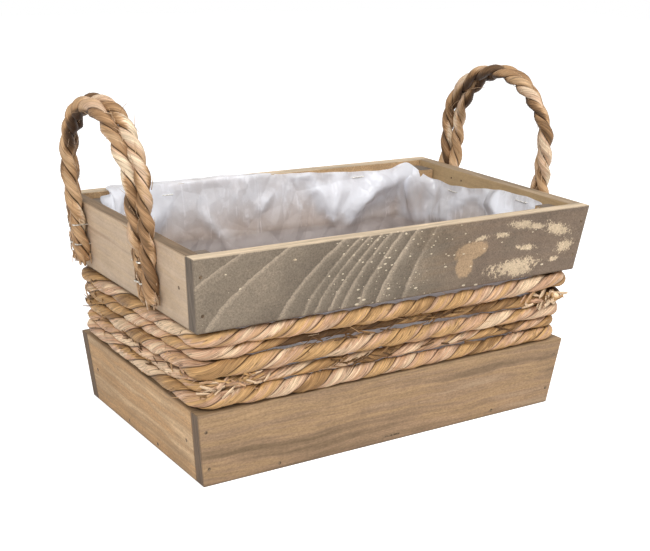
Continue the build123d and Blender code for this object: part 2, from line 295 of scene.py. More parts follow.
def marks(tree, place, spots, soften, crumble, strength):
    """Ovals on the front face, as strong as asked: solid in the middle and loose at the edge."""
    # the edge crumbles in grains from 3 mm down to 0.3 mm wide
    fuzz = add(tree, "TexNoise", {"Vector": place, "Scale": 330, "Detail": 5, "Roughness": 0.85})
    fuzz = add(tree, "Math", (fuzz, crumble, -0.5 * crumble), operation="MULTIPLY_ADD")
    total = 0.0
    for x, z, half_length, half_height, turn in spots:
        oval = {
            "Vector": place,
            "Location": (x * mm, front_face_y * mm, z * mm),
            "Rotation": (0, radians(-turn), 0),
            "Scale": (half_length * mm, 12 * mm, half_height * mm),
        }
        local = add(tree, "Mapping", oval, vector_type="TEXTURE")
        ragged = add(tree, "VectorMath", (local,), operation="LENGTH")
        ragged = add(tree, "Math", (fuzz, ragged), operation="ADD")
        spot = add(tree, "MapRange", (ragged, soften, 1.0, 1.0, 0.0))
        total = add(tree, "Math", (total, spot), operation="MAXIMUM")
    return add(tree, "Math", (total, strength), operation="MULTIPLY")


# %% Rings across the board
def rings(tree, x, z, ragged):
    """The rings' colours: pale where each one starts, and darker up to the next."""
    up_board = add(tree, "Math", (z, board_foot), operation="SUBTRACT")
    up_board = add(tree, "Math", (up_board, 1 / board_rise), operation="MULTIPLY", use_clamp=True)
    curve = add(tree, "Math", (up_board, 2.2), operation="POWER")
    curve = add(tree, "Math", (curve, 31.2), operation="MULTIPLY")
    lean = add(tree, "Math", (up_board, 16.8, curve), operation="MULTIPLY_ADD")
    # the rings lean less and less towards the right
    spread = x
    for way, *numbers in (("ADD", 75), ("MULTIPLY_ADD", -0.006, 1.0), ("MINIMUM", 1.5), ("MAXIMUM", 0.35)):
        spread = add(tree, "Math", (spread, *numbers), operation=way)
    lean = add(tree, "Math", (spread, lean), operation="MULTIPLY")
    across = add(tree, "Math", (x, lean), operation="SUBTRACT")
    wavy = add(tree, "Math", (ragged, 5.0, -2.5), operation="MULTIPLY_ADD")
    across = add(tree, "Math", (across, wavy), operation="ADD")
    width = ring_high - ring_low
    share = add(tree, "Math", (across, 1 / width, -ring_low / width), operation="MULTIPLY_ADD")
    stops = []
    for start, following in zip(ring_starts, (*ring_starts[1:], ring_starts[-1] + 14)):
        paled = start + min(6.0, (following - start) * 0.3)
        for spot, tint in ((start - 0.6, "685d50"), (start + 0.3, "ad9d89"), (paled, "7d7162")):
            stops.append(((spot - ring_low) / width, hue(tint)))
    return add(tree, "ValToRGB", {"Fac": share}, stops)


def chips(tree, place, x, stretch, thinned):
    """Pale chips that lie along the rings, thickest in the middle of the board."""
    crowd = add(tree, "Math", (x, 1 / 60, 10 / 60), operation="MULTIPLY_ADD")
    crowd = add(tree, "Math", (crowd,), operation="ABSOLUTE")
    slanted = add(tree, "Mapping", {"Vector": place, "Rotation": (0, radians(38), 0), "Scale": stretch})
    cells = add(tree, "TexVoronoi", {"Vector": slanted, "Scale": 1.0, "Randomness": 1.0})
    dice = add(tree, "SeparateXYZ", {"Vector": cells.outputs["Color"]})
    chance = add(tree, "Math", (crowd, -0.62 * thinned, 0.66 * thinned), operation="MULTIPLY_ADD")
    chance = add(tree, "Math", (chance, 0.03), operation="MAXIMUM")
    picked = add(tree, "Math", (dice.outputs["X"], chance), operation="LESS_THAN")
    reach = add(tree, "Math", (dice.outputs["Y"], 0.15, 0.1), operation="MULTIPLY_ADD")
    inside = add(tree, "Math", (cells.outputs["Distance"], reach), operation="LESS_THAN")
    chip = add(tree, "Math", (picked, inside), operation="MULTIPLY")
    return add(tree, "Math", (chip, 0.85), operation="MULTIPLY")


# %% Put the weathered board together
def weathered_board(name):
    """Grey weathered pine: pitted, ringed, warm at both ends, scuffed and chipped."""
    material, tree, shader, plain, parts = pine(name, False, "918270 7c6e5d 6a5d4d 826f59")
    place = parts["place"]
    # its grain runs out of the face, so it is pitted instead of streaked
    pits = add(tree, "TexNoise", {"Vector": place, "Scale": 950, "Detail": 2, "Roughness": 0.8})
    pitted = add(tree, "MapRange", (pits, 0.32, 0.68, 0.7, 1.24))
    mottle = add(tree, "MapRange", (parts["stain"], 0.3, 0.7, 0.76, 1.16))
    tone = add(tree, "Math", (pitted, mottle), operation="MULTIPLY")
    relief = add(tree, "Math", (pits, 1.2), operation="MULTIPLY")
    parts.update(along=(1, 0, 0), inside="b4946e", tone=tone, relief=relief)

    split = add(tree, "SeparateXYZ", {"Vector": place})
    x, z = (add(tree, "Math", (split.outputs[axis], 1000), operation="MULTIPLY") for axis in "XZ")
    ragged = add(tree, "TexNoise", {"Vector": place, "Scale": 170, "Detail": 4, "Roughness": 0.7})
    # the rings fade out towards the right, and the back board has none
    fade = add(tree, "Math", (ragged, 30, x), operation="MULTIPLY_ADD")
    fade = add(tree, "MapRange", (fade, 12, 50, 0.92, 0.0))
    in_front = add(tree, "MapRange", (split.outputs["Y"], -0.04, 0.0, 1.0, 0.0))
    fade = add(tree, "Math", (fade, in_front), operation="MULTIPLY")
    colour = add(tree, "Mix", (fade, plain, rings(tree, x, z, ragged)), data_type="RGBA")

    # the ends are paler and warmer than the middle, and over them lie the marks and the chips
    for share, tint in (
        (add(tree, "MapRange", (x, -150, -60, 0.4, 0.0)), "9c8c78"),
        (add(tree, "MapRange", (x, 5, 60, 0.0, 0.75)), "726153"),
        (marks(tree, place, shadows, 0.1, 1.2, 0.4), "635a4d"),
        (marks(tree, place, stains, 0.8, 0.7, 0.85), "ab8f6f"),
        (marks(tree, place, scuffs, 0.7, 4.6, 0.85), "cdb799"),
        (chips(tree, place, x, (150, 150, 330), 0.5), "d9c9ae"),
        (chips(tree, place, x, (280, 200, 520), 1.2), "d9c9ae"),
    ):
        colour = add(tree, "Mix", (share, colour, hue(tint)), data_type="RGBA")
    finish_pine(tree, shader, colour, parts, "d2bc9f", "665a4e", upper_dirt_and_shade, 0.35)
    return material


upper_side_pine = weathered_board("weathered_pine_upper_sides")
print("rings", len(ring_starts), "scuffs", len(scuffs), "stains", len(stains))

# %% Give every board its finish
def dress(node_names, material):
    """Gives CAD nodes their finish. Their meshes stay as they are."""
    for name in node_names:
        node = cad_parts[name]
        node.data.materials.clear()
        node.data.materials.append(material)


dress(["upper_front_board", "upper_back_board"], upper_side_pine)
dress(["upper_left_board"], left_end_pine)
dress(["upper_right_board"], right_end_pine)
dress(["lower_front_board", "lower_back_board"], lower_side_pine)
dress(["lower_left_board", "lower_right_board"], lower_end_pine)
dress(["front_left_post", "front_right_post", "back_left_post", "back_right_post", "base_panel"], post_pine)

# %% [markdown]
# ## Nails and staples
# They are drawn steel wire. The nails have darkened in the damp wood, so they are brown
# and dull, and the staples keep a dull zinc shine.

# %% Steel for the nails and the staples
def wire_steel(name, bright, dull, roughness):
    """Drawn steel wire: metallic, with a bloom 1 to 2 mm across that dulls it in patches."""
    material, tree, shader = new_material(name, {"Metallic": 1.0, "Roughness": roughness})
    place = add(tree, "TexCoord").outputs["Object"]
    bloom = add(tree, "TexNoise", {"Vector": place, "Scale": 600, "Detail": 2})
    colour = add(tree, "ValToRGB", {"Fac": bloom}, [(0.4, hue(dull)), (0.6, hue(bright))])
    feed(tree, shader, {"Base Color": colour})
    return material


nail_steel = wire_steel("browned_steel_nails", "85735f", "57493c", 0.6)
staple_steel = wire_steel("bright_zinc_staples", "f3f1ed", "d6d2ca", 0.5)
dulled_steel = wire_steel("handled_zinc_staples", "d3cec5", "a9a297", 0.5)
dress(["upper_frame_nails", "lower_frame_nails", "post_nails", "base_nails", "base_staples"], nail_steel)
print("steel:", nail_steel.name, staple_steel.name, dulled_steel.name)

# %% [markdown]
# ## Tools for rope and plait
# Rope and plait are both dried leaf, laid in long strips. They are made the same way: a
# smooth route gives a middle line, and a ring of points is carried along it. What changes
# along the way is the ring: its size, its twist and the creases of the leaf. The mesh also
# keeps, in attributes, where each point lies along and round its strip, so that the
# material's fibres follow the leaf and not the room.

# %% Smooth random curves
def between(values):
    """The whole number below each value, and an eased share of the way to the next."""
    low = np.floor(values).astype(int)
    share = values - low
    return low, share * share * (3 - 2 * share)


def wave(values, seed, cell):
    """Smooth random numbers from -1 to 1 along a line, a new one every cell."""
    low, share = between(np.asarray(values, float) / cell)
    table = np.random.default_rng(seed).uniform(-1, 1, 4096)
    return table[low % 4096] * (1 - share) + table[(low + 1) % 4096] * share


def wave_round(angles, values, seed, around, cell):
    """Smooth random numbers on a tube: so many cells round it, and one every cell along."""
    low_turn, part = between((np.asarray(angles) / (2 * pi)) % 1 * around)
    low, share = between(np.asarray(values) / cell)
    table = np.random.default_rng(seed).uniform(-1, 1, (around, 2048))
    a, b = low_turn % around, (low_turn + 1) % around
    near = table[a, low % 2048] * (1 - part) + table[b, low % 2048] * part
    far = table[a, (low + 1) % 2048] * (1 - part) + table[b, (low + 1) % 2048] * part
    return near * (1 - share) + far * share


# %% A route's middle line
def lengths_along(points):
    """How far along a row of points each of them lies."""
    return np.concatenate([[0], np.cumsum(np.linalg.norm(np.diff(points, axis=0), axis=1))])


def middle_line(points, spacing):
    """Evenly spaced points on a smooth curve whose control points are given, in metres."""
    data = bpy.data.curves.new("route", "CURVE")
    data.dimensions = "3D"
    data.resolution_u = 40
    spline = data.splines.new("NURBS")
    spline.points.add(len(points) - 1)
    for target, point in zip(spline.points, points):
        target.co = (*point, 1.0)
    spline.order_u = 3
    spline.use_endpoint_u = True
    holder = bpy.data.objects.new("route", data)
    mesh = bpy.data.meshes.new_from_object(holder)
    raw = np.array([v.co for v in mesh.vertices], float)
    bpy.data.objects.remove(holder)
    bpy.data.curves.remove(data)
    bpy.data.meshes.remove(mesh)
    along = lengths_along(raw)
    wanted = np.linspace(0, along[-1], int(along[-1] / spacing) + 1)
    return np.stack([np.interp(wanted, along, raw[:, i]) for i in range(3)], axis=1), wanted


def directions(line):
    """Unit vectors along a line."""
    ahead = np.gradient(line, axis=0)
    return ahead / np.linalg.norm(ahead, axis=1)[:, None]


def square_to(vectors, ahead):
    """The given vectors, or the one for all, turned square to the line, at unit length."""
    flat = vectors - (vectors * ahead).sum(axis=1)[:, None] * ahead
    return flat / np.linalg.norm(flat, axis=1)[:, None]


# %% A bundle that gathers swept strips into one mesh
def new_bundle():
    """An empty bundle: a list for each thing that its strips bring, and a count of points."""
    return {**{key: [] for key in ("points", "quads", "fibre", "leaf", "crease", "caps")}, "count": 0}


def ring_quads(rings, around):
    """Four-sided faces between rings of points that follow each other."""
    i, j = np.meshgrid(np.arange(rings - 1), np.arange(around), indexing="ij")
    a, b = i * around + j, i * around + (j + 1) % around
    return np.stack([a, b, b + around, a + around], axis=-1).reshape(-1, 4)


def lay(bundle, line, side, over, ring_side, ring_over, along, turn, leaf, crease):
    """Adds one strip: rings of points carried along a line, closed at both ends."""
    stations, around = ring_side.shape
    points = line[:, None, :] + ring_side[..., None] * side[:, None, :]
    points = points + ring_over[..., None] * over[:, None, :]
    radius = np.hypot(ring_side, ring_over)
    along = np.broadcast_to(along[:, None], turn.shape)
    fibre = np.stack([radius * np.cos(turn), radius * np.sin(turn), along], axis=2)
    bundle["points"].append(points.reshape(-1, 3))
    bundle["quads"].append(bundle["count"] + ring_quads(stations, around))
    bundle["fibre"].append(fibre.reshape(-1, 3))
    bundle["leaf"].append(np.broadcast_to(leaf, turn.shape).reshape(-1))
    bundle["crease"].append(np.broadcast_to(crease, turn.shape).reshape(-1))
    bundle["caps"].append((bundle["count"], around, stations))
    bundle["count"] += stations * around


def new_piece(name, points, faces):
    """An object in the scene, from points in metres and faces."""
    mesh = bpy.data.meshes.new(name)
    mesh.from_pydata(points.tolist(), [], faces)
    mesh.update()
    piece = bpy.data.objects.new(name, mesh)
    bpy.context.scene.collection.objects.link(piece)
    return piece


def as_mesh(bundle, name):
    """The gathered strips as one object, smooth, with its leaf attributes."""
    faces = np.concatenate(bundle["quads"]).tolist()
    for first, around, stations in bundle["caps"]:
        last = first + (stations - 1) * around
        faces.append(list(range(first, first + around))[::-1])
        faces.append(list(range(last, last + around)))
    piece = new_piece(name, np.concatenate(bundle["points"]), faces)
    for key, kind in (("fibre", "FLOAT_VECTOR"), ("leaf", "FLOAT"), ("crease", "FLOAT")):
        attribute = piece.data.attributes.new(key, kind, "POINT")
        values = np.concatenate(bundle[key]).astype(np.float32).reshape(-1)
        attribute.data.foreach_set("vector" if kind == "FLOAT_VECTOR" else "value", values)
    piece.data.polygons.foreach_set("use_smooth", [True] * len(faces))
    piece.data.update()
    print(name, "points", bundle["count"], "faces", len(faces))
    return piece


# %% Loose leaf and stray fibres
def short_curve(points, spacing):
    """A short bend through the space of three or four points, for stubs and stray fibres."""
    points = np.array(points, float)
    count = max(5, int(np.linalg.norm(np.diff(points, axis=0), axis=1).sum() / spacing) + 1)
    t = np.linspace(0, 1, count)[:, None]
    rows = points[:, None]
    while len(rows) > 1:
        rows = rows[:-1] * (1 - t) + rows[1:] * t
    return rows[0], lengths_along(rows[0])


def lay_blade(bundle, points, across, widths, thickness, shade, seed):
    """A loose strip of leaf: flat, cupped a little, tapering, following a short curve."""
    line, along = short_curve(points, 1.4 * mm)
    ahead = directions(line)
    side = square_to(np.array(across, float), ahead)
    half = np.interp(along / along[-1], np.linspace(0, 1, len(widths)), widths) / 2
    half = (half * (1 + 0.15 * wave(along, int(seed), 2.5 * mm)))[:, None]
    angle = np.arange(8)[None, :] * 2 * pi / 8
    ring_side = half * np.cos(angle)
    ring_over = thickness * np.sin(angle) + 0.25 * half * (np.cos(angle) ** 2)
    turn = np.broadcast_to(angle, ring_side.shape)
    lay(bundle, line, side, np.cross(ahead, side), ring_side, ring_over, along + seed, turn, shade, 0.0)


def lay_whisker(bundle, start, heading, length, curl, seed, thickness):
    """A stray fibre, thinner than a millimetre, that springs out and bends."""
    heading = np.array(heading, float) / np.linalg.norm(heading)
    points = [start + heading * length * t + curl * length * t * t for t in (-0.1, 0.3, 0.65, 1.0)]
    line, along = short_curve(points, length / 7)
    ahead = directions(line)
    side = square_to(np.array((0.3, 0.5, 0.81)), ahead)
    angle = np.arange(4)[None, :] * 2 * pi / 4
    size = (thickness * np.interp(along / along[-1], [0, 0.6, 1], [1, 0.85, 0.3]))[:, None]
    ring_side, ring_over = size * np.cos(angle), size * np.sin(angle)
    turn, shade = np.broadcast_to(angle, ring_side.shape), 0.35 + 0.5 * ((seed * 7) % 1)
    lay(bundle, line, side, np.cross(ahead, side), ring_side, ring_over, along + seed, turn, shade, 0.0)


# %% A rope of two strands along any line
# places round a strand, closest together beside the seams, where the leaf turns in sharply
strand_places = np.array([0, 0.05, 0.13, 0.26, 0.47, 0.78, 1.15, 1.57, 1.99, 2.36, 2.67, 2.88, 3.01, 3.09])
rope_places = np.concatenate([strand_places, strand_places + pi])


def lay_rope(bundle, line, along, side, radius, pitch, seed, shade, contrast, piece_length, depth,
             seam_width=0.17, dim_way=None, fullness=0.6):
    """Two strands twisted together: they turn once in a pitch, and meet in sharp seams.

    dim_way, if given, points from each place on the line to its side under the arch, which is painted
    darker as shade, more the longer it is.
    """
    ahead = directions(line)
    over = np.cross(side, ahead)
    twist = np.cumsum(2 * pi / pitch * np.gradient(along)) + seed
    place = np.broadcast_to(rope_places[None, :], (len(line), len(rope_places)))
    angle = place + twist[:, None]
    in_strand, strand = place % pi, np.floor(place / pi)
    station = np.broadcast_to(along[:, None], place.shape)
    swell = in_strand + 0.22 * np.sin(in_strand)
    relief = 1 - depth + depth * np.sin(np.minimum(swell, pi)) ** fullness
    relief += 0.05 * wave_round(place, station, seed + 11, 6, 26 * mm)
    relief += 0.035 * wave_round(place, station, seed + 12, 11, 9 * mm)
    # every strip of leaf has its own shade, and a new one begins after each piece length
    leaf_place = station / piece_length + in_strand * 0.3 + strand * 37.5
    leaf = shade + contrast * wave(np.floor(leaf_place), seed + 21, 1.0)
    leaf = leaf + 0.1 * wave_round(place, station, seed + 13, 5, 18 * mm)
    # crease is 1 in the seams, where the leaf material paints dirt and shade
    from_seam = np.minimum(in_strand, pi - in_strand)
    crease = np.clip(1.05 - from_seam / seam_width, 0, 1)
    # painted shade: the side under the arch is made darker and coloured like a seam
    if dim_way is not None:
        out = side[:, None] * np.cos(angle)[..., None] + over[:, None] * np.sin(angle)[..., None]
        shaded_side = np.clip(1.5 * (out * dim_way[:, None]).sum(axis=2) - 0.2, 0, 1)
        leaf, crease = leaf - 0.6 * shaded_side, np.maximum(crease, 0.72 * shaded_side)
    ring = radius[:, None] * relief
    lay(bundle, line, side, over, ring * np.cos(angle), ring * np.sin(angle), along, place, leaf, crease)


# %% [markdown]
# ## Dried leaf
# Rope and plait are twisted from dried water-plant leaf. Each strip has its own colour,
# from a deep brown to cream, with fine lengthwise fibres and a faint waxy gloss, and the
# seams are painted dark, for dirt and for the shade that falls in them. The strip's colour
# comes from one attribute, its fibres from another, and the seams' dirt and painted shade
# from a third.

# %% The recipe for dried leaf
def dried_leaf(name, tints, seam, least_light, thread_share):
    """Twisted dried leaf: fibrous, warm, slightly waxy, and painted dark in its seams for dirt and shade.
    """
    waxy = {"Roughness": 0.5, "IOR": 1.45, "Specular IOR Level": 0.2}
    material, tree, shader = new_material(name, waxy)
    fibre = add(tree, "Attribute", attribute_name="fibre").outputs["Vector"]
    leaf = add(tree, "Attribute", attribute_name="leaf").outputs["Fac"]
    crease = add(tree, "Attribute", attribute_name="crease").outputs["Fac"]
    # fibres 0.6 mm wide and 20 mm long, strips 3 mm wide and 50 mm long, and blotches
    lines = fibres(tree, fibre, (1500, 1500, 45), 3, 0.7)
    strips = fibres(tree, fibre, (300, 300, 18), 2)
    blotches = fibres(tree, fibre, (170, 170, 85), 4, 0.65)

    shift = add(tree, "Math", (strips, 0.7, -0.35), operation="MULTIPLY_ADD")
    pick = add(tree, "Math", (leaf, shift), operation="ADD", use_clamp=True)
    tints = tints.split()
    stops = [((i + 0.3) / len(tints), hue(tint)) for i, tint in enumerate(tints)]
    colour = add(tree, "ValToRGB", {"Fac": pick}, stops)
    light = add(tree, "MapRange", (lines, 0.3, 0.7, least_light, 1.84 - least_light))
    patch = add(tree, "MapRange", (blotches, 0.3, 0.7, 0.78, 1.14))
    colour = toned(tree, colour, add(tree, "Math", (light, patch), operation="MULTIPLY"))
    # dark threads where a strip has split or a leaf's edge shows
    thread = 0.0
    for level, share in ((0.39, 0.45), (0.5, 0.8), (0.60, 0.5)):
        off = add(tree, "Math", (strips, level), operation="SUBTRACT")
        off = add(tree, "Math", (off,), operation="ABSOLUTE")
        line = add(tree, "MapRange", (off, 0.004, 0.011, share * thread_share, 0.0))
        thread = add(tree, "Math", (thread, line), operation="MAXIMUM")
    # the seams get the dark seam colour: dirt, and painted shade where the strands meet
    shade = add(tree, "MapRange", (crease, 0.1, 0.95, 0.0, 0.94))
    for share in (thread, shade):
        colour = add(tree, "Mix", (share, colour, hue(seam)), data_type="RGBA")
    relief = add(tree, "Math", (lines, thread), operation="SUBTRACT")
    bump = add(tree, "Bump", {"Height": relief, "Strength": 0.7, "Distance": 0.35 * mm})
    feed(tree, shader, {"Base Color": colour, "Normal": bump})
    return material


rope_tints = "62472c 8c6944 b68e5f cba26f c89f81 e5c7a4"
plait_tints = "68503a 8f6d4c b68f68 cda981 d6b395 ecd5b5"
rope_leaf = dried_leaf("dried_leaf_rope", rope_tints, "38220f", 0.55, 0.7)
plait_leaf = dried_leaf("dried_leaf_plait", plait_tints, "2e1a0c", 0.62, 0.55)
print("leaf finishes:", rope_leaf.name, plait_leaf.name)

# %% [markdown]
# ## The rope wound round the posts
# One rope, twisted from two strands, is wound five times round the corner posts. It isn't
# even: some turns are plump, the second from the top is thin and dark, and the fourth is
# ragged. A table gives each turn's height and thickness at nine places round the crate. The
# route has three points at each corner, which keep the runs straight and the bend tight.

# %% Where each turn lies, and how thick it is
# places, in order: back left, left, front left, front at -77, -15 and 57, front right, right, back right
turn_heights = [
    [53.4, 53.0, 54.4, 53.4, 53.0, 52.4, 52.4, 52.6, 53.0],
    [61.6, 61.6, 63.0, 63.0, 62.2, 61.6, 61.2, 62.4, 63.0],
    [70.4, 70.6, 73.6, 73.4, 72.4, 71.0, 70.0, 72.0, 73.0],
    [80.0, 80.6, 83.4, 83.2, 82.4, 80.6, 79.2, 82.0, 83.0],
    [90.0, 90.4, 92.0, 91.4, 90.2, 89.4, 91.4, 92.4, 92.6],
]
turn_thicknesses = [
    [9.0, 9.6, 10.2, 11.0, 9.8, 9.0, 8.8, 9.4, 9.4],
    [7.6, 8.2, 7.6, 7.4, 7.8, 6.6, 7.2, 8.4, 8.6],
    [9.4, 10.4, 11.2, 10.2, 10.6, 9.8, 9.2, 9.6, 9.6],
    [9.2, 9.6, 8.4, 6.4, 5.4, 6.6, 8.6, 9.2, 9.2],
    [10.0, 10.4, 9.4, 10.4, 10.4, 10.4, 10.2, 9.8, 9.8],
]
post_foot_x, post_foot_y = 127.4, 72.6
post_head_x, post_head_y, post_head_z = 135.6, 78.55, 98.4
rope_gap, corner_run = 0.4, 20.0
# each corner: its place in the tables, its side of the crate, and the ways to the points
# before it and after it
rope_corners = (
    (0, (-1, 1), (1, 0), (0, -1)), (2, (-1, -1), (0, 1), (1, 0)),
    (6, (1, -1), (-1, 0), (0, 1)), (8, (1, 1), (0, -1), (-1, 0)),
)


def post_face(height):
    """Half the length and half the width over the posts' outer faces at a height, in mm."""
    share = height / post_head_z
    half_x = post_foot_x + (post_head_x - post_foot_x) * share
    half_y = post_foot_y + (post_head_y - post_foot_y) * share
    return half_x, half_y


def rope_reach(turn, i, bulge=1.8):
    """How far out the rope's middle lies at a place of a turn, along and across, in mm."""
    half_x, half_y = post_face(turn_heights[turn][i])
    out = rope_gap + turn_thicknesses[turn][i] / 2
    # on the left end the two lowest turns bulge over the lower boards
    return half_x + out + (bulge if turn < 2 and i < 3 else 0.0), half_y + out


def rope_route():
    """Control points of the wound rope, each with the rope's thickness there, in mm."""
    route = []

    def put(x, y, turn, i):
        """Adds a point with the height and thickness of a place in the tables."""
        route.append((x, y, turn_heights[turn][i], turn_thicknesses[turn][i]))

    put(-0.72 * rope_reach(0, 0)[0], rope_reach(0, 0)[1], 0, 0)
    last_turn = len(turn_heights) - 1
    for turn in range(last_turn + 1):
        for i, (side_x, side_y), before, after in rope_corners:
            if i == 2:
                put(-rope_reach(turn, 1)[0], 0, turn, 1)
            elif i == 6:
                for k, x in ((3, -77), (4, -15), (5, 57)):
                    put(x, -rope_reach(turn, k)[1], turn, k)
            elif i == 8:
                put(rope_reach(turn, 7)[0], 0, turn, 7)
            half_x, half_y = rope_reach(turn, i)
            for way_x, way_y in (before, (0, 0), after):
                put(side_x * half_x + way_x * corner_run, side_y * half_y + way_y * corner_run, turn, i)
        # along the back each turn climbs to the next, and the last one ends behind a post
        put(half_x * (0.72 if turn == last_turn else 0.5), half_y, turn, 8)
        if turn < last_turn:
            next_x, next_y = rope_reach(turn + 1, 0, bulge=0.0)
            put(-next_x * 0.5, next_y, turn + 1, 0)
    return np.array(route)[:, :3], np.array(route)[:, 3]


route_points, route_thick = rope_route()
rope_line, rope_along = middle_line(route_points * mm, 1.65 * mm)
print("rope: control points", len(route_points), "length", round(float(rope_along[-1]), 3), "m")

# %% Lay the rope
def smoothed(values, reach):
    """A running mean, so that a change spreads over a few stations."""
    width = 2 * reach + 1
    return np.convolve(np.pad(values, reach, mode="edge"), np.ones(width) / width, mode="valid")


polygon = lengths_along(route_points)
rope_radius = np.interp(rope_along / rope_along[-1], polygon / polygon[-1], route_thick) / 2 * mm
rope_radius = smoothed(rope_radius, 10)
rope_radius *= 1.04 + 0.06 * wave(rope_along, 3, 13 * mm) + 0.035 * wave(rope_along, 4, 5 * mm)

# the strands turn once in about 40 mm at the front, and in about 60 mm on the left end
rope_x, rope_y, rope_z = rope_line.T
rope_pitch = smoothed(np.where(rope_x < -0.128, 60.0, 40.0), 12) * mm
rope_pitch = rope_pitch * (1 + 0.22 * wave(rope_along, 5, 80 * mm))
# the second turn from the top is darker along the front
dull = (np.abs(rope_z - 0.082) < 0.0035) & (rope_y < -0.06) & (rope_x > -0.105)
rope_shade = smoothed(np.where(dull, 0.2, np.where(rope_x < -0.11, 0.62, 0.52)), 12)[:, None]
rope_ahead = directions(rope_line)
rope_side = square_to(np.cross(rope_ahead, np.array((0.0, 0.0, 1.0))), rope_ahead)

rope_bundle = new_bundle()
lay_rope(
    rope_bundle, rope_line, rope_along, rope_side, rope_radius, rope_pitch,
    seed=7, shade=rope_shade, contrast=0.32, piece_length=40 * mm, depth=0.27,
)
print("rope: points", rope_bundle["count"])

# %% Frayed places
# from and to along the face, lowest and highest, how many stubs, and how pale
ragged_fronts = (
    (-139, -96, 56, 68, 44, 0.7), (100, 138, 76, 85, 26, 0.9), (-70, 60, 79, 85, 34, 0.0),
    (-48, -4, 61, 67, 26, 0.0), (20, 100, 58, 66, 8, 0.2),
)
ragged_ends = ((-30, 16, 56, 72, 40, 0.1), (-70, -40, 62, 76, 20, 0.6), (45, 78, 56, 92, 34, 0.4))
stray_fibres = 150
rng = np.random.default_rng(17)


def stub(bundle, place, outward, level, pale):
    """One short end of leaf: it lies nearly along the rope and its tip stands off a little."""
    place, outward, level = (np.array(v, float) for v in (place, outward, level))
    length = rng.uniform(5, 13) * mm
    heading = level * rng.choice([-1, 1]) + np.array((0, 0, rng.uniform(-0.55, 0.55)))
    heading = heading + outward * rng.uniform(0, 0.3)
    heading /= np.linalg.norm(heading)
    start = place - heading * length * 0.5 - outward * 1.6 * mm
    tip = place + heading * length * 0.5 + outward * rng.uniform(-0.6, 0.9) * mm
    middle = (start + tip) / 2 + outward * rng.uniform(0.6, 1.6) * mm
    width = rng.uniform(0.7, 2.0) * (0.7 + pale) * mm
    if pale > 0.8:
        # broad curled pieces of leaf, lifted at their tips
        width = width * 1.5
        tip = tip + (outward * rng.uniform(0, 2.2) + np.array((0, 0, rng.uniform(-2, 2)))) * mm
    shade = np.clip(pale + rng.uniform(-0.45, 0.3), 0, 1)
    widths = [width * 0.8, width, width * rng.uniform(0.3, 0.9)]
    across = np.cross(heading, outward)
    lay_blade(bundle, [start, middle, tip], across, widths, 0.22 * mm, shade, rng.uniform(1, 90))


for ragged, front in ((ragged_fronts, True), (ragged_ends, False)):
    for low, high, bottom, top, count, pale in ragged:
        for _ in range(count):
            z = rng.uniform(bottom, top)
            out = -(post_face(z)[1 if front else 0] + rng.uniform(8.2, 10.0))
            aside = rng.uniform(low, high)
            spot = np.array((aside, out, z) if front else (out, aside, z)) * mm
            outward, level = ((0, -1, 0), (1, 0, 0)) if front else ((-1, 0, 0), (0, 1, 0))
            stub(rope_bundle, spot, outward, level, pale)
print("rope with stubs: points", rope_bundle["count"])

# %% Stray fibres, and the finished rope
for k in range(stray_fibres):
    i = int(rng.uniform(0.005, 0.995) * len(rope_line))
    way = rng.uniform(0, 2 * pi)
    above = np.cross(rope_side[i], rope_ahead[i])
    out = rope_side[i] * cos(way) + above * sin(way)
    if (out * rope_line[i])[:2].sum() < 0:
        out = -out
    heading = rope_ahead[i] * rng.choice([-1, 1]) + out * rng.uniform(0.1, 0.7)
    start = rope_line[i] + out * rope_radius[i] * 0.95
    length, curl = rng.uniform(4, 12) * mm, out * rng.uniform(-0.4, 0.4)
    lay_whisker(rope_bundle, start, heading, length, curl, 0.1 + k * 0.31, rng.uniform(0.12, 0.22) * mm)
rope = as_mesh(rope_bundle, "wound_rope")
rope.data.materials.append(rope_leaf)
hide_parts("rope_wrap")
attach(rope, "crate")

# %% [markdown]
# ## The film liner
# A sheet of thin milky polythene keeps the soil in. It is pushed into the crate, stapled to
# the boards and cut off roughly at the rim, so it wanders a little above and below it, and
# lies over the back rim. Slack film can't stretch or shrink: it buckles into soft folds with
# sharp ends. So the sheet starts as a tub a little too large for the crate, a short cloth
# simulation lets it buckle, and whatever would pass through a board is pressed flat on it.

# %% The inside of the crate at every height
rim_height, base_top, film_gap = 143.9, 8.0, 0.5
rim_half_length, rim_half_width_inside = 141.0, 83.5
post_size_x, post_size_y, post_top = 12.0, 17.0, 140.4
inner_walls = (
    (8.0, 128.5, 73.3), (47.85, 133.7, 76.4), (98.4, 135.7, 78.65),
    (rim_height, rim_half_length, rim_half_width_inside),
)


def inner_face(height):
    """Half the length and half the width inside the boards at a height, less a small gap."""
    heights, lengths, widths = zip(*inner_walls)
    return np.interp(height, heights, lengths) - film_gap, np.interp(height, heights, widths) - film_gap


def inner_post(height):
    """How far along and across the posts' inner faces lie at a height, less a small gap."""
    face_x, face_y = post_face(height)
    return face_x - post_size_x - film_gap, face_y - post_size_y - film_gap


def film_corners(height):
    """The film's way round the crate at a height: across each wall and past each post."""
    (wall_x, wall_y), (post_x, post_y) = inner_face(height), inner_post(height)
    quarter = [
        (post_x - 9, wall_y), (post_x - 1.5, wall_y - 6), (post_x, post_y + 1),
        (wall_x - 5, post_y - 1), (wall_x, post_y - 9),
    ]
    way = [(-x, y) for x, y in quarter[::-1]] + quarter
    return np.array(way + [(-x, -y) for x, y in way])
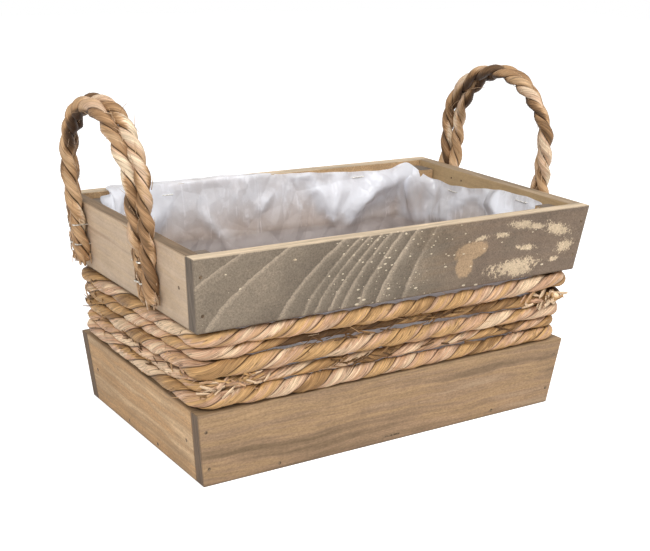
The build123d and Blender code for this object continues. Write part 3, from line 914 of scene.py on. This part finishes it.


# the film's cut edge: place along, place across, height, reach over the rim
film_edge = (
    (-124, 83, 145.4, 8.4), (-94, 83, 145.1, 8.4), (-56, 83, 145.0, 8.0), (-32, 83, 144.8, 7.0),
    (-7, 83, 144.6, 4.5), (18, 83, 143.4, 0), (44, 83, 141.9, 0), (71, 83, 140.4, 0), (100, 83, 138.6, 0),
    (114, 83, 139.6, 0), (124, 76, 144.0, 0), (129, 68, 139.5, 0), (137, 60, 133.2, 0), (140, 42, 131.7, 0),
    (140, 21, 133.6, 0), (140, 5, 136.3, 0), (140, -12, 138.8, 0), (140, -43, 140.3, 0),
    (134, -63, 138.5, 0), (110, -83, 140.5, 0), (60, -83, 139.0, 0), (10, -83, 141.5, 0),
    (-50, -83, 140.0, 0), (-100, -83, 141.0, 0), (-126, -66, 137.5, 0), (-140, -52, 138.5, 0),
    (-140, -33, 137.7, 0), (-140, -10, 138.2, 0), (-140, 16, 139.3, 0), (-140, 31, 140.5, 0),
    (-140, 43, 141.0, 0), (-138, 56, 146.5, 0), (-127, 66, 145.5, 0),
)
print("film edge: places", len(film_edge))

# %% The tub of film before it buckles
film_columns, film_rows, film_floor_rows = 210, 28, 12


def film_tub():
    """Rings of points: the cut edge, down the walls, then inwards over the base, in mm."""
    def closed_way(height):
        """The film's way round the crate, back to where it starts."""
        way = film_corners(height)
        return np.vstack([way, way[:1]])

    along = lengths_along(closed_way(rim_height))
    wanted = np.arange(film_columns) / film_columns * along[-1]

    def ring_at(height):
        """One point for each column of the film, at a height."""
        way = closed_way(height)
        return np.stack([np.interp(wanted, along, way[:, axis]) for axis in (0, 1)], axis=1)

    rim_ring, base_ring = ring_at(rim_height), ring_at(base_top)
    edge_rows = np.array(film_edge)
    where = np.array([int(np.argmin(np.hypot(*(rim_ring - row[:2]).T))) for row in edge_rows])
    order, column = np.argsort(where), np.arange(film_columns)
    edge, over = (
        np.interp(column, where[order], edge_rows[order, k], period=film_columns) for k in (2, 3)
    )
    edge += 0.5 * wave(column, 81, 3.0) + 0.3 * wave(column, 82, 1.3)
    rings = []
    for i in range(3):
        ring = rim_ring.copy()
        ring[:, 1] += over * (1 - i / 2)
        height = np.maximum(edge - i * 1.2 * (1 - np.clip(over / 2, 0, 1)), edge - i * 1.2)
        rings.append(np.column_stack([ring, height]))
    top = rings[-1][:, 2]
    for i in range(1, film_rows + 1):
        height = top + (base_top + 1.5 - top) * i / film_rows
        lowered = ((rim_height - height) / (rim_height - base_top))[:, None]
        rings.append(np.column_stack([rim_ring + (base_ring - rim_ring) * lowered, height]))
    last = rings[-1]
    for i in range(1, film_floor_rows):
        share = 1 - (i - 0.7) / (film_floor_rows - 0.9)
        rings.append(np.column_stack([last[:, :2] * share, np.full(film_columns, base_top + film_gap)]))
    return np.array(rings)


def film_mesh(rings, name):
    """The rings joined by four-sided faces, and a last face in the middle of the base."""
    faces = ring_quads(len(rings), film_columns).tolist()
    faces.append(list(range((len(rings) - 1) * film_columns, len(rings) * film_columns)))
    return new_piece(name, rings.reshape(-1, 3) * mm, faces)


film_start = film_tub()
film_slack = 0.055
print("film tub:", film_start.shape, "points, slack", film_slack)

# %% Slack, staples and folds
staple_spots = (
    (81, 83, 135.5), (-81, 83, 137), (81, -83, 135), (-81, -83, 136),
    (140, 37, 128), (140, -37, 136), (-140, 37, 136), (-140, -37, 134),
)
staple_reach, staple_hold = 11, 8
# folds: a place on the wall, how far the film stands off, its width and height, and its slant
folds = (
    (-92, 83, 126, 9, 16, 22, 0.5), (-48, 83, 118, 9, 13, 26, -0.7), (2, 83, 128, 9, 12, 20, 0.9),
    (48, 83, 122, 7, 16, 24, -0.5), (88, 83, 126, 10, 12, 20, 0.8), (118, 76, 132, 8, 9, 16, 0.2),
    (140, 34, 122, 9, 14, 22, -0.6), (140, -20, 124, 8, 16, 20, 0.7), (-140, 20, 118, 6, 14, 20, 0.5),
)


def inward_folds(rings):
    """Slack at the listed folds: where the film stands off the wall, and how far, in mm."""
    standing = np.zeros(rings.shape[:2])
    for x, y, z, reach, width, tall, way in folds:
        aside = np.where(abs(y) > 80, rings[..., 0] - x, rings[..., 1] - y)
        off = np.hypot(rings[..., 0] - x, rings[..., 1] - y) < 60
        up = rings[..., 2] - z
        across = np.abs(aside - way * up) / width
        ridge = (0.6 * np.exp(-(across**2)) + 0.55 * np.exp(-1.6 * across)) * np.exp(-((up / tall) ** 2))
        standing += reach * ridge * off
    # the staples hold it on the wall
    for x, y, z in staple_spots:
        near = np.hypot(np.hypot(rings[..., 0] - x, rings[..., 1] - y), rings[..., 2] - z)
        standing = standing * (1 - np.exp(-((near / staple_reach) ** 2)))
    return standing


def toward_middle(rings, standing):
    """The rings moved off the nearer wall by the distances given, in mm."""
    inward = -rings[..., :2] / np.array([rim_half_length, rim_half_width_inside])
    near_x = np.abs(inward[..., 0]) > np.abs(inward[..., 1])
    nearer = np.stack([near_x, ~near_x], axis=-1)
    moved = rings.copy()
    moved[..., :2] += np.where(nearer, np.sign(inward), 0) * standing[..., None]
    return moved


# %% Keep the film inside the boards
def press_inside(rings):
    """Presses flat what would pass through a board, a post or the base."""
    flap = np.zeros(rings.shape[:2], bool)
    flap[:3] = film_start[:3, :, 2] > rim_height + 0.3
    fitted = rings.copy()
    fitted[flap] = film_start[flap]
    x, y, z = (fitted[..., k] for k in range(3))
    (wall_x, wall_y), (post_x, post_y) = inner_face(z), inner_post(z)
    new_x, new_y = np.clip(x, -wall_x, wall_x), np.clip(y, -wall_y, wall_y)
    in_post = (np.abs(new_x) > post_x) & (np.abs(new_y) > post_y) & (z < post_top)
    nearer_x = (np.abs(new_x) - post_x) < (np.abs(new_y) - post_y)
    new_x = np.where(in_post & nearer_x, np.sign(new_x) * post_x, new_x)
    new_y = np.where(in_post & ~nearer_x, np.sign(new_y) * post_y, new_y)
    fitted[..., 0] = np.where(flap, x, new_x)
    fitted[..., 1] = np.where(flap, y, new_y)
    fitted[..., 2] = np.maximum(z, base_top + film_gap)
    return fitted


standing = inward_folds(film_start)
ring_rows = np.arange(len(film_start))[:, None]
way_round = np.arange(film_columns)[None, :] / film_columns * 2 * pi
wrinkle = 1.1 * wave_round(way_round, ring_rows, 91, 46, 6.0)
wrinkle = wrinkle + 0.5 * wave_round(way_round, ring_rows, 92, 90, 3.0)
slack_film = toward_middle(film_start, (standing + 1.0 + wrinkle) * np.clip(ring_rows / 4, 0, 1))
film = film_mesh(slack_film, "film_liner")
print("film stands off the wall by up to", round(float(standing.max()), 1), "mm")

# %% Let the film buckle
settle_frames, longest_move = 22, 12
thin_film = {
    "quality": 6, "mass": 0.06, "tension_stiffness": 18, "compression_stiffness": 18,
    "shear_stiffness": 8, "bending_stiffness": 0.012, "air_damping": 3,
    "vertex_group_mass": "held", "shrink_min": -film_slack,
}
# the cut edge, the staples and the base hold the film, and what lies between may move
held = film.vertex_groups.new(name="held")
for k, point in enumerate(slack_film.reshape(-1, 3)):
    row = k // film_columns
    near_staple = min(np.linalg.norm(point - np.array(spot)) for spot in staple_spots) < staple_hold
    if row < 1 or near_staple or row > film_rows + 4:
        held.add([k], 1.0, "REPLACE")
cloth = film.modifiers.new("buckle", "CLOTH")
for key, value in thin_film.items():
    setattr(cloth.settings, key, value)
cloth.settings.effector_weights.gravity = 0
cloth.collision_settings.use_collision = False
cloth.point_cache.frame_start, cloth.point_cache.frame_end = 1, settle_frames
for frame_number in range(1, settle_frames + 1):
    bpy.context.scene.frame_set(frame_number)
evaluated = film.evaluated_get(bpy.context.evaluated_depsgraph_get())
buckled = np.array([v.co for v in evaluated.to_mesh().vertices]).reshape(film_start.shape) / mm
evaluated.to_mesh_clear()
film.modifiers.clear()
film.vertex_groups.clear()
move = buckled - slack_film
far = np.linalg.norm(move, axis=2, keepdims=True)
slack_film = slack_film + move * np.minimum(1, longest_move / np.maximum(far, 1e-6))
print("film moved up to", round(float(np.abs(move).max()), 1), "mm along one direction")
settled_film = press_inside(slack_film)
film.data.vertices.foreach_set("co", (settled_film.reshape(-1, 3) * mm).astype(np.float32).ravel())
film.data.update()

# %% Mark where the film hangs loose, and smooth it
wall_x, wall_y = inner_face(settled_film[..., 2])
off_wall = np.minimum(wall_x - np.abs(settled_film[..., 0]), wall_y - np.abs(settled_film[..., 1]))
loose = np.clip(off_wall / 7, 0, 1)
attribute = film.data.attributes.new("loose", "FLOAT", "POINT")
attribute.data.foreach_set("value", loose.astype(np.float32).ravel())
finer = film.modifiers.new("finer", "SUBSURF")
finer.levels = finer.render_levels = 1
bpy.context.view_layer.objects.active = film
film.select_set(True)
bpy.ops.object.modifier_apply(modifier="finer")
film.select_set(False)
film.data.polygons.foreach_set("use_smooth", [True] * len(film.data.polygons))
print("film: loose at", int((loose > 0.5).sum()), "of", loose.size, "places")


# %% The recipe for milky film
def resurface(tree, shader):
    """Puts another shader in the place of the one a material began with."""
    output = next(n for n in tree.nodes if n.bl_idname == "ShaderNodeOutputMaterial")
    feed(tree, output, {"Surface": shader})


def crumpled(tree, place, crumple):
    """Relief of slack film: flat facets with straight creases, 50 mm and 18 mm across."""
    height = add(tree, "Math", (crumple, 0.8), operation="MULTIPLY")
    for stretch, depth in (((20, 20, 14), 11.0), ((62, 62, 38), 3.0)):
        slant = {"Vector": place, "Rotation": (0.3, radians(35), 0.2), "Scale": stretch}
        cells = {"Vector": add(tree, "Mapping", slant), "Scale": 1}
        facet = add(tree, "TexVoronoi", cells, feature="DISTANCE_TO_EDGE")
        height = add(tree, "Math", (facet.outputs["Distance"], depth, height), operation="MULTIPLY_ADD")
    return add(tree, "Bump", {"Height": height, "Strength": 0.9, "Distance": 1.0 * mm})


def highlight_streaks(tree, place, crumple):
    """Painted highlights: thin straight streaks, 1 mm wide, that slant both ways, made milkier."""
    streak_share = 0.0
    for turn in (32, -44):
        slant = (0, radians(turn), radians(turn / 2))
        drawn = add(tree, "Mapping", {"Vector": place, "Rotation": slant, "Scale": (85, 85, 8)})
        lines = add(tree, "TexNoise", {"Vector": drawn, "Scale": 1, "Detail": 1})
        off_line = add(tree, "Math", (lines, 0.5), operation="SUBTRACT")
        off_line = add(tree, "Math", (off_line,), operation="ABSOLUTE")
        line = add(tree, "MapRange", (off_line, 0.0, 0.035, 1.0, 0.0))
        streak_share = add(tree, "Math", (streak_share, line), operation="MAXIMUM")
    some = add(tree, "MapRange", (crumple, 0.45, 0.6, 0.0, 0.3))
    return add(tree, "Math", (streak_share, some), operation="MULTIPLY")


def milky_polythene(name):
    """Thin blown polythene: half clear, milky where it stands off the wood, and shiny."""
    material, tree, shader = new_material(name, {"Roughness": 0.2, "IOR": 1.5})
    place = add(tree, "TexCoord").outputs["Object"]
    split = add(tree, "SeparateXYZ", {"Vector": place}).outputs
    loose = add(tree, "Attribute", attribute_name="loose").outputs["Fac"]
    crumple = add(tree, "TexNoise", {"Vector": place, "Scale": 60, "Detail": 4, "Roughness": 0.6})
    upper = add(tree, "MapRange", (split["Z"], 0.104, 0.128, 0.56, 0.88))
    cloud = add(tree, "MapRange", (crumple, 0.3, 0.7, -0.10, 0.10))
    body = add(tree, "Math", (loose, 0.4, upper), operation="MULTIPLY_ADD")
    # the milkier streaks are painted highlights
    for more in (cloud, highlight_streaks(tree, place, crumple)):
        body = add(tree, "Math", (body, more), operation="ADD", use_clamp=True)
    # where it spans the corner behind the right post there is nothing close behind it
    corner = {"Vector": place, "Location": (0.121, 0.056, 0.118), "Scale": (0.018, 0.03, 0.017)}
    from_corner = add(tree, "Mapping", corner, vector_type="TEXTURE")
    from_corner = add(tree, "VectorMath", (from_corner,), operation="LENGTH")
    thin = add(tree, "MapRange", (from_corner, 0.4, 1.2, 0.5, 1.0))
    body = add(tree, "Math", (body, thin), operation="MULTIPLY")
    # low down at the back the film is painted darker and lets little through: painted shade, with the
    # wood's brown behind it
    low_down = add(tree, "MapRange", (split["Z"], 0.1, 0.107, 1.0, 0.0))
    at_back = add(tree, "MapRange", (split["Y"], -0.04, 0.0))
    shaded_low_back = add(tree, "Math", (low_down, at_back), operation="MULTIPLY")
    dense = add(tree, "Math", (shaded_low_back, 0.98), operation="MULTIPLY")
    body = add(tree, "Math", (body, dense), operation="MAXIMUM")

    # pressed on the wood it takes up the wood's colour
    pale = add(tree, "MapRange", (split["Z"], 0.1, 0.13, 0.3, 0.9))
    pale = add(tree, "Math", (loose, 0.8, pale), operation="MULTIPLY_ADD", use_clamp=True)
    colour = add(tree, "Mix", (pale, hue("dccdc3"), hue("f6f8ff")), data_type="RGBA")
    # painted shade: a dim greyish brown low on the back wall
    colour = add(tree, "Mix", (shaded_low_back, colour, hue("a89d98")), data_type="RGBA")
    feed(tree, shader, {"Base Color": colour, "Normal": crumpled(tree, place, crumple)})
    clear = add(tree, "BsdfTransparent", {"Color": hue("f1eff0")})
    through = add(tree, "BsdfTranslucent", {"Color": hue("eef0fa")})
    milky = add(tree, "Math", (shaded_low_back, -0.26, 0.3), operation="MULTIPLY_ADD")
    milk = add(tree, "MixShader", (milky, shader, through))
    resurface(tree, add(tree, "MixShader", (body, clear, milk)))
    return material


film.data.materials.append(milky_polythene("milky_polythene_film"))
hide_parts("liner")
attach(film, "crate")
print("film:", len(film.data.vertices), "points")

# %% [markdown]
# ## The plaited handles
# Close to, each handle shows two columns of slanting lobes with a ragged seam between them:
# two thin twisted ropes, plaited flat and drawn together with loose fibre. The pair lies
# flat on the end board at its feet and turns by a quarter towards the crown, so that its
# flat face is the top of the arch. The feet are cut off and stapled.

# %% The middle line of a handle
hinge_height, foot_height, crown_middle_height = 150.0, 104.0, 185.0
rim_half_outer, board_lean = 150.0, 5.3 / 45.5
plait_half_thickness, plait_gap = 4.75, 0.15
plait_out = plait_gap + plait_half_thickness
cord_radius, cord_apart, cord_pitch, cord_spacing = 5.15, 4.1, 32.0, 1.3
# short ends on each cord, cut strips at each foot, loose fibres, and how many fill the seam
cord_stubs, foot_strips, loose_fibres, seam_fibres = 44, 34, 150, 90


def board_face(height):
    """Half the length over the upper end boards' outer faces at a height, in mm."""
    return rim_half_outer - board_lean * (rim_height - height)


def handle_points(side_x, half_span, rise, crown_lean, centre):
    """Control points of one handle from its front foot over the crown to its back foot, in mm."""
    foot = (foot_height + 2, 118.0, 132.0, 143.0)
    legs = [(side_x * (board_face(z) + plait_out), centre - half_span, z) for z in foot]
    hinge_x = side_x * (board_face(hinge_height) + plait_out)
    lean_x, lean_z = side_x * sin(radians(crown_lean)), cos(radians(crown_lean))
    for lift, width in ((0, 1), (rise, 1), (rise + 0.414 * half_span, 1), (rise + half_span, 0.414)):
        legs.append((hinge_x + lean_x * lift, centre - width * half_span, hinge_height + lean_z * lift))
    return np.array(legs + [(x, 2 * centre - y, z) for x, y, z in reversed(legs)])


def handle_way(side_x, half_span, rise, crown_lean, centre):
    """The middle line with the plait's flat and deep ways, and the way to its inner side, where shade is
    painted.
    """
    points = handle_points(side_x, half_span, rise, crown_lean, centre)
    line, along = middle_line(points * mm, cord_spacing * mm)
    ahead = directions(line)
    inward = np.array((-side_x * cos(radians(crown_lean)), 0, sin(radians(crown_lean))))
    inward = square_to(inward, ahead)
    outward = np.cross(inward, ahead)
    middle = np.array((line[:, 0].mean(), centre * mm, crown_middle_height * mm))
    outward *= np.sign(((line - middle) * outward).sum(axis=1))[:, None]
    from_foot = np.minimum(along, along[-1] - along)
    # flat on the board at the foot, a third of the turn above the rim, the rest near the crown
    quarter = np.radians(np.interp(from_foot / mm, (0, 24, 48, 78, 106, 136), (0, 6, 29, 36, 60, 90)))
    quarter = smoothed(quarter, 8)
    wide = outward * np.cos(quarter)[:, None] + inward * np.sin(quarter)[:, None]
    wide = square_to(wide, ahead)
    # towards the crown, the inner side under the arch gets painted shade
    crown = np.clip(from_foot / mm / 36 - 1.7, 0, 1)[:, None]
    return line, along, ahead, wide, np.cross(ahead, wide), -outward * crown


# %% One cord of a plait
def lay_cord(bundle, rng, handle, way, seed):
    """One of the two twisted ropes, worn at its own foot, with short ends standing off it."""
    line, along, ahead, wide, deep, dim_way = handle
    apart = (cord_apart + 0.15 * wave(along, seed, 24 * mm)) * mm * way
    swing = 0.3 * wave(along, seed + 1, 30 * mm) * mm
    path = line + wide * apart[:, None] + deep * swing[:, None]
    uneven = 1 + 0.05 * wave(along, seed + 2, 17 * mm) + 0.03 * wave(along, seed + 3, 6 * mm)
    pitch = cord_pitch * mm * (1 + 0.14 * wave(along, seed + 4, 55 * mm))
    # one cord is worn at the front foot and the other at the back foot
    from_own_foot = along if way < 0 else along[-1] - along
    worn = smoothed(np.clip(1.6 - from_own_foot / (26 * mm), 0, 1), 4)
    radius = cord_radius * mm * uneven * (1 - 0.14 * worn)
    lay_rope(
        bundle, path, lengths_along(path), square_to(wide, directions(path)), radius, pitch,
        seed=seed, shade=(0.53 - 0.35 * worn)[:, None], contrast=0.4, piece_length=17 * mm,
        depth=0.5, seam_width=0.26, dim_way=dim_way, fullness=0.8,
    )
    for k in range(cord_stubs):
        i = int(rng.uniform(0, 34 * mm) / (cord_spacing * mm))
        i = i if way < 0 else len(line) - 1 - i
        out = deep[i] * rng.choice([-1, 1]) * cos(k) + wide[i] * sin(k)
        start = path[i] + out * cord_radius * mm * 0.8
        tip = start + ahead[i] * rng.uniform(3, 8) * mm * rng.choice([-1, 1])
        tip = tip + out * rng.uniform(0, 1.2) * mm
        width = rng.uniform(0.5, 1.3) * mm
        points, across = [start, (start + tip) / 2 + out * 0.5 * mm, tip], np.cross(ahead[i], out)
        widths = [width, width, width * 0.4]
        lay_blade(bundle, points, across, widths, 0.2 * mm, rng.uniform(0, 0.75), k + seed)


# %% A plait's cut feet and its loose fibre
def fray_foot(bundle, rng, handle, end, seed):
    """The cut strips of leaf at one foot."""
    line, _, ahead, wide, deep, _ = handle
    drop = -ahead[end] if end == 0 else ahead[end]
    for k in range(foot_strips):
        across = rng.uniform(-9, 9)
        bulge = 4.4 * np.sqrt(max(0.05, 1 - ((abs(across) - 4.85) / 4.9) ** 2))
        start = line[end] + wide[end] * across * mm + deep[end] * rng.uniform(-bulge, bulge) * mm
        start = start - drop * 4 * mm
        tip = start + drop * rng.uniform(5.0, 8.0) * mm + wide[end] * rng.uniform(-1, 1) * mm
        bend = (start + tip) / 2 + deep[end] * rng.uniform(-0.4, 0.4) * mm
        width = rng.uniform(1.2, 2.8) * mm
        widths = [width, width, width * 0.6]
        lay_blade(bundle, [start, bend, tip], wide[end], widths, 0.3 * mm, rng.uniform(0.05, 0.8), k + seed)


def loose_fibre(bundle, rng, handle):
    """Loose fibre in the seam between the two ropes, and stray ends all over."""
    line, _, ahead, wide, deep, _ = handle
    for k in range(loose_fibres):
        i = int(rng.uniform(0.02, 0.98) * len(line))
        face = rng.choice([-1, 1])
        if k < seam_fibres:
            out = deep[i] * face * rng.uniform(2.6, 4.6) * mm + wide[i] * rng.uniform(-1.6, 1.6) * mm
            heading = ahead[i] * rng.choice([-1, 1]) + wide[i] * rng.uniform(-0.9, 0.9)
            heading = heading + deep[i] * face * rng.uniform(-0.1, 0.2)
            curl = wide[i] * rng.uniform(-0.8, 0.8)
        else:
            way = rng.uniform(0, 2 * pi)
            out = wide[i] * cos(way) * 9 * mm + deep[i] * sin(way) * 4.2 * mm
            off = out / np.linalg.norm(out)
            heading = ahead[i] * rng.choice([-1, 1]) + off * rng.uniform(0.05, 0.5)
            curl = off * rng.uniform(-0.5, 0.3)
        length, thickness = rng.uniform(4, 12) * mm, rng.uniform(0.12, 0.24) * mm
        lay_whisker(bundle, line[i] + out, heading, length, curl, 0.1 + k * 0.37, thickness)


# %% Make both handles
def plaited_handle(name, side_x, half_span, rise, crown_lean, centre, seed):
    """One handle: two twisted ropes side by side along the middle line, with frayed feet."""
    handle = handle_way(side_x, half_span, rise, crown_lean, centre)
    bundle, rng = new_bundle(), np.random.default_rng(seed)
    for way, own_seed in ((-1, seed), (1, seed + 100)):
        lay_cord(bundle, rng, handle, way, own_seed)
    for end in (0, -1):
        fray_foot(bundle, rng, handle, end, seed)
    loose_fibre(bundle, rng, handle)
    return as_mesh(bundle, name)


# each handle: its side, half its span, the rise of its legs, its lean, its middle and its seed
handles = (
    ("left_plait", "left", -1, 51.0, 13.0, 4.0, 11.5, 2),
    ("right_plait", "right", 1, 50.5, 19.5, 0.5, 12.5, 9),
)
for name, end, side_x, half_span, rise, crown_lean, centre, seed in handles:
    plait = plaited_handle(name, side_x, half_span, rise, crown_lean, centre, seed)
    plait.data.materials.append(plait_leaf)
    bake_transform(plait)
    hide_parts(f"{end}_handle_arch", f"{end}_handle_front_leg", f"{end}_handle_back_leg")

# %% [markdown]
# ## Staples bedded in fibre and film
# A staple fired over a plait doesn't stay straight: its crown bends over the two cords and
# dips in the seam between them, and hands dull it. Over the film it lies flat on the wall and
# stays bright. Each is a round wire swept along its own bend, and a pair or a ring of them
# makes one piece.

# %% Bend the staples
def lay_staple(bundle, middle, across, outward, profile, wire_radius):
    """One staple: the profile gives places across and outward in mm, from tip to tip."""
    middle, across, outward = (np.array(v, float) for v in (middle, across, outward))
    points = [middle * mm + across * u * mm + outward * v * mm for u, v in profile]
    line, along = middle_line(points, 0.6 * mm)
    side = np.broadcast_to(np.cross(across, outward), line.shape)
    over = np.cross(side, directions(line))
    angle = np.broadcast_to(np.arange(8) * pi / 4, (len(line), 8))
    ring_side, ring_over = wire_radius * np.cos(angle), wire_radius * np.sin(angle)
    lay(bundle, line, side, over, ring_side, ring_over, along, angle, 0.5, 0.0)


plait_wire, film_wire = 0.55 * mm, 0.4 * mm
leg_places, staple_heights = (-36.5, 60.5), (117.0, 130.0)
half_over_plait = ((-5, -9.5), (-5, 0), (-5, 4.0), (-3.8, 5.0), (-1.4, 4.4))
over_plait = (*half_over_plait, (0, 3.6), *((-u, v) for u, v in half_over_plait[::-1]))
half_over_film = ((-5.8, -5.5), (-5.8, 0.9), (-5.4, 1.3))
over_film = (*half_over_film, (0, 1.3), *((-u, v) for u, v in half_over_film[::-1]))
for end, side_x in (("left", -1), ("right", 1)):
    bundle = new_bundle()
    for leg_y in leg_places:
        for height in staple_heights:
            place = (side_x * (board_face(height) + plait_out), leg_y, height)
            lay_staple(bundle, place, (0, 1, 0), (side_x, 0, 0), over_plait, plait_wire)
    staples = as_mesh(bundle, f"{end}_bent_staples")
    staples.data.materials.append(dulled_steel)
    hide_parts(f"{end}_handle_staples")
    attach(staples, "crate")

bundle = new_bundle()
for x, y, z in staple_spots:
    wall_x, wall_y = inner_face(z)
    if abs(y) > 80:
        place, across, outward = (x, np.sign(y) * wall_y, z), (1, 0, 0), (0, -np.sign(y), 0)
    else:
        place, across, outward = (np.sign(x) * wall_x, y, z), (0, 1, 0), (-np.sign(x), 0, 0)
    lay_staple(bundle, place, across, outward, over_film, film_wire)
film_staples = as_mesh(bundle, "bent_liner_staples")
film_staples.data.materials.append(staple_steel)
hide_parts("liner_staples")
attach(film_staples, "crate")

# %% [markdown]
# ## Floor and light
# A catalogue picture stands on white. The floor is pale, and to the camera it glows a
# little, so that it reads as white paper while the trug's shadow still falls on it. The
# light is a wide soft lamp on the left, a weaker one on the right, one overhead, and an even
# white room.

# %% The paper floor
def seen_way(tree):
    """1 for light that goes to the camera, straight or by way of gloss or film, else 0."""
    rays = add(tree, "LightPath").outputs
    seen = add(tree, "Math", (rays["Is Camera Ray"], rays["Is Glossy Ray"]), operation="MAXIMUM")
    return add(tree, "Math", (seen, rays["Is Transmission Ray"]), operation="MAXIMUM")


paper_size, paper_glow, room_light, room_glow = 6, 0.56, 0.55, 0.45
bpy.ops.mesh.primitive_plane_add(size=paper_size, location=(0, 0, 0))
floor = bpy.context.active_object
floor.name = "paper_floor"
matt = {"Roughness": 0.95, "Base Color": grey(0.86), "Specular IOR Level": 0.1}
paper, tree, shader = new_material("matt_white_paper", matt)
strength = add(tree, "Math", (seen_way(tree), paper_glow), operation="MULTIPLY")
glow = add(tree, "Emission", {"Color": grey(1.0), "Strength": strength})
resurface(tree, add(tree, "AddShader", (shader, glow)))
floor.data.materials.append(paper)

# %% The room and the lamps
world = bpy.data.worlds.new("white_room")
bpy.context.scene.world = world
world.use_nodes = True
tree = world.node_tree
tree.nodes.clear()
strength = add(tree, "Math", (seen_way(tree), room_glow, room_light), operation="MULTIPLY_ADD")
room = add(tree, "Background", {"Color": grey(1.0), "Strength": strength})
add(tree, "OutputWorld", {"Surface": room})


def lamp(name, place, size, power):
    """A wide soft square lamp that points at the middle of the trug."""
    data = bpy.data.lights.new(name, "AREA")
    data.size = size
    data.energy = power
    made = bpy.data.objects.new(name, data)
    made.location = place
    made.rotation_euler = (Vector((0, 0, 0.1)) - Vector(place)).to_track_quat("-Z", "Y").to_euler()
    bpy.context.scene.collection.objects.link(made)


lamp("key_lamp", (-1.4, -1.2, 1.5), 0.9, 29)
lamp("fill_lamp", (1.2, -1.6, 0.9), 1.2, 9)
lamp("top_lamp", (0.3, -0.7, 1.7), 1.0, 13)
bpy.context.scene.view_settings.view_transform = "Standard"
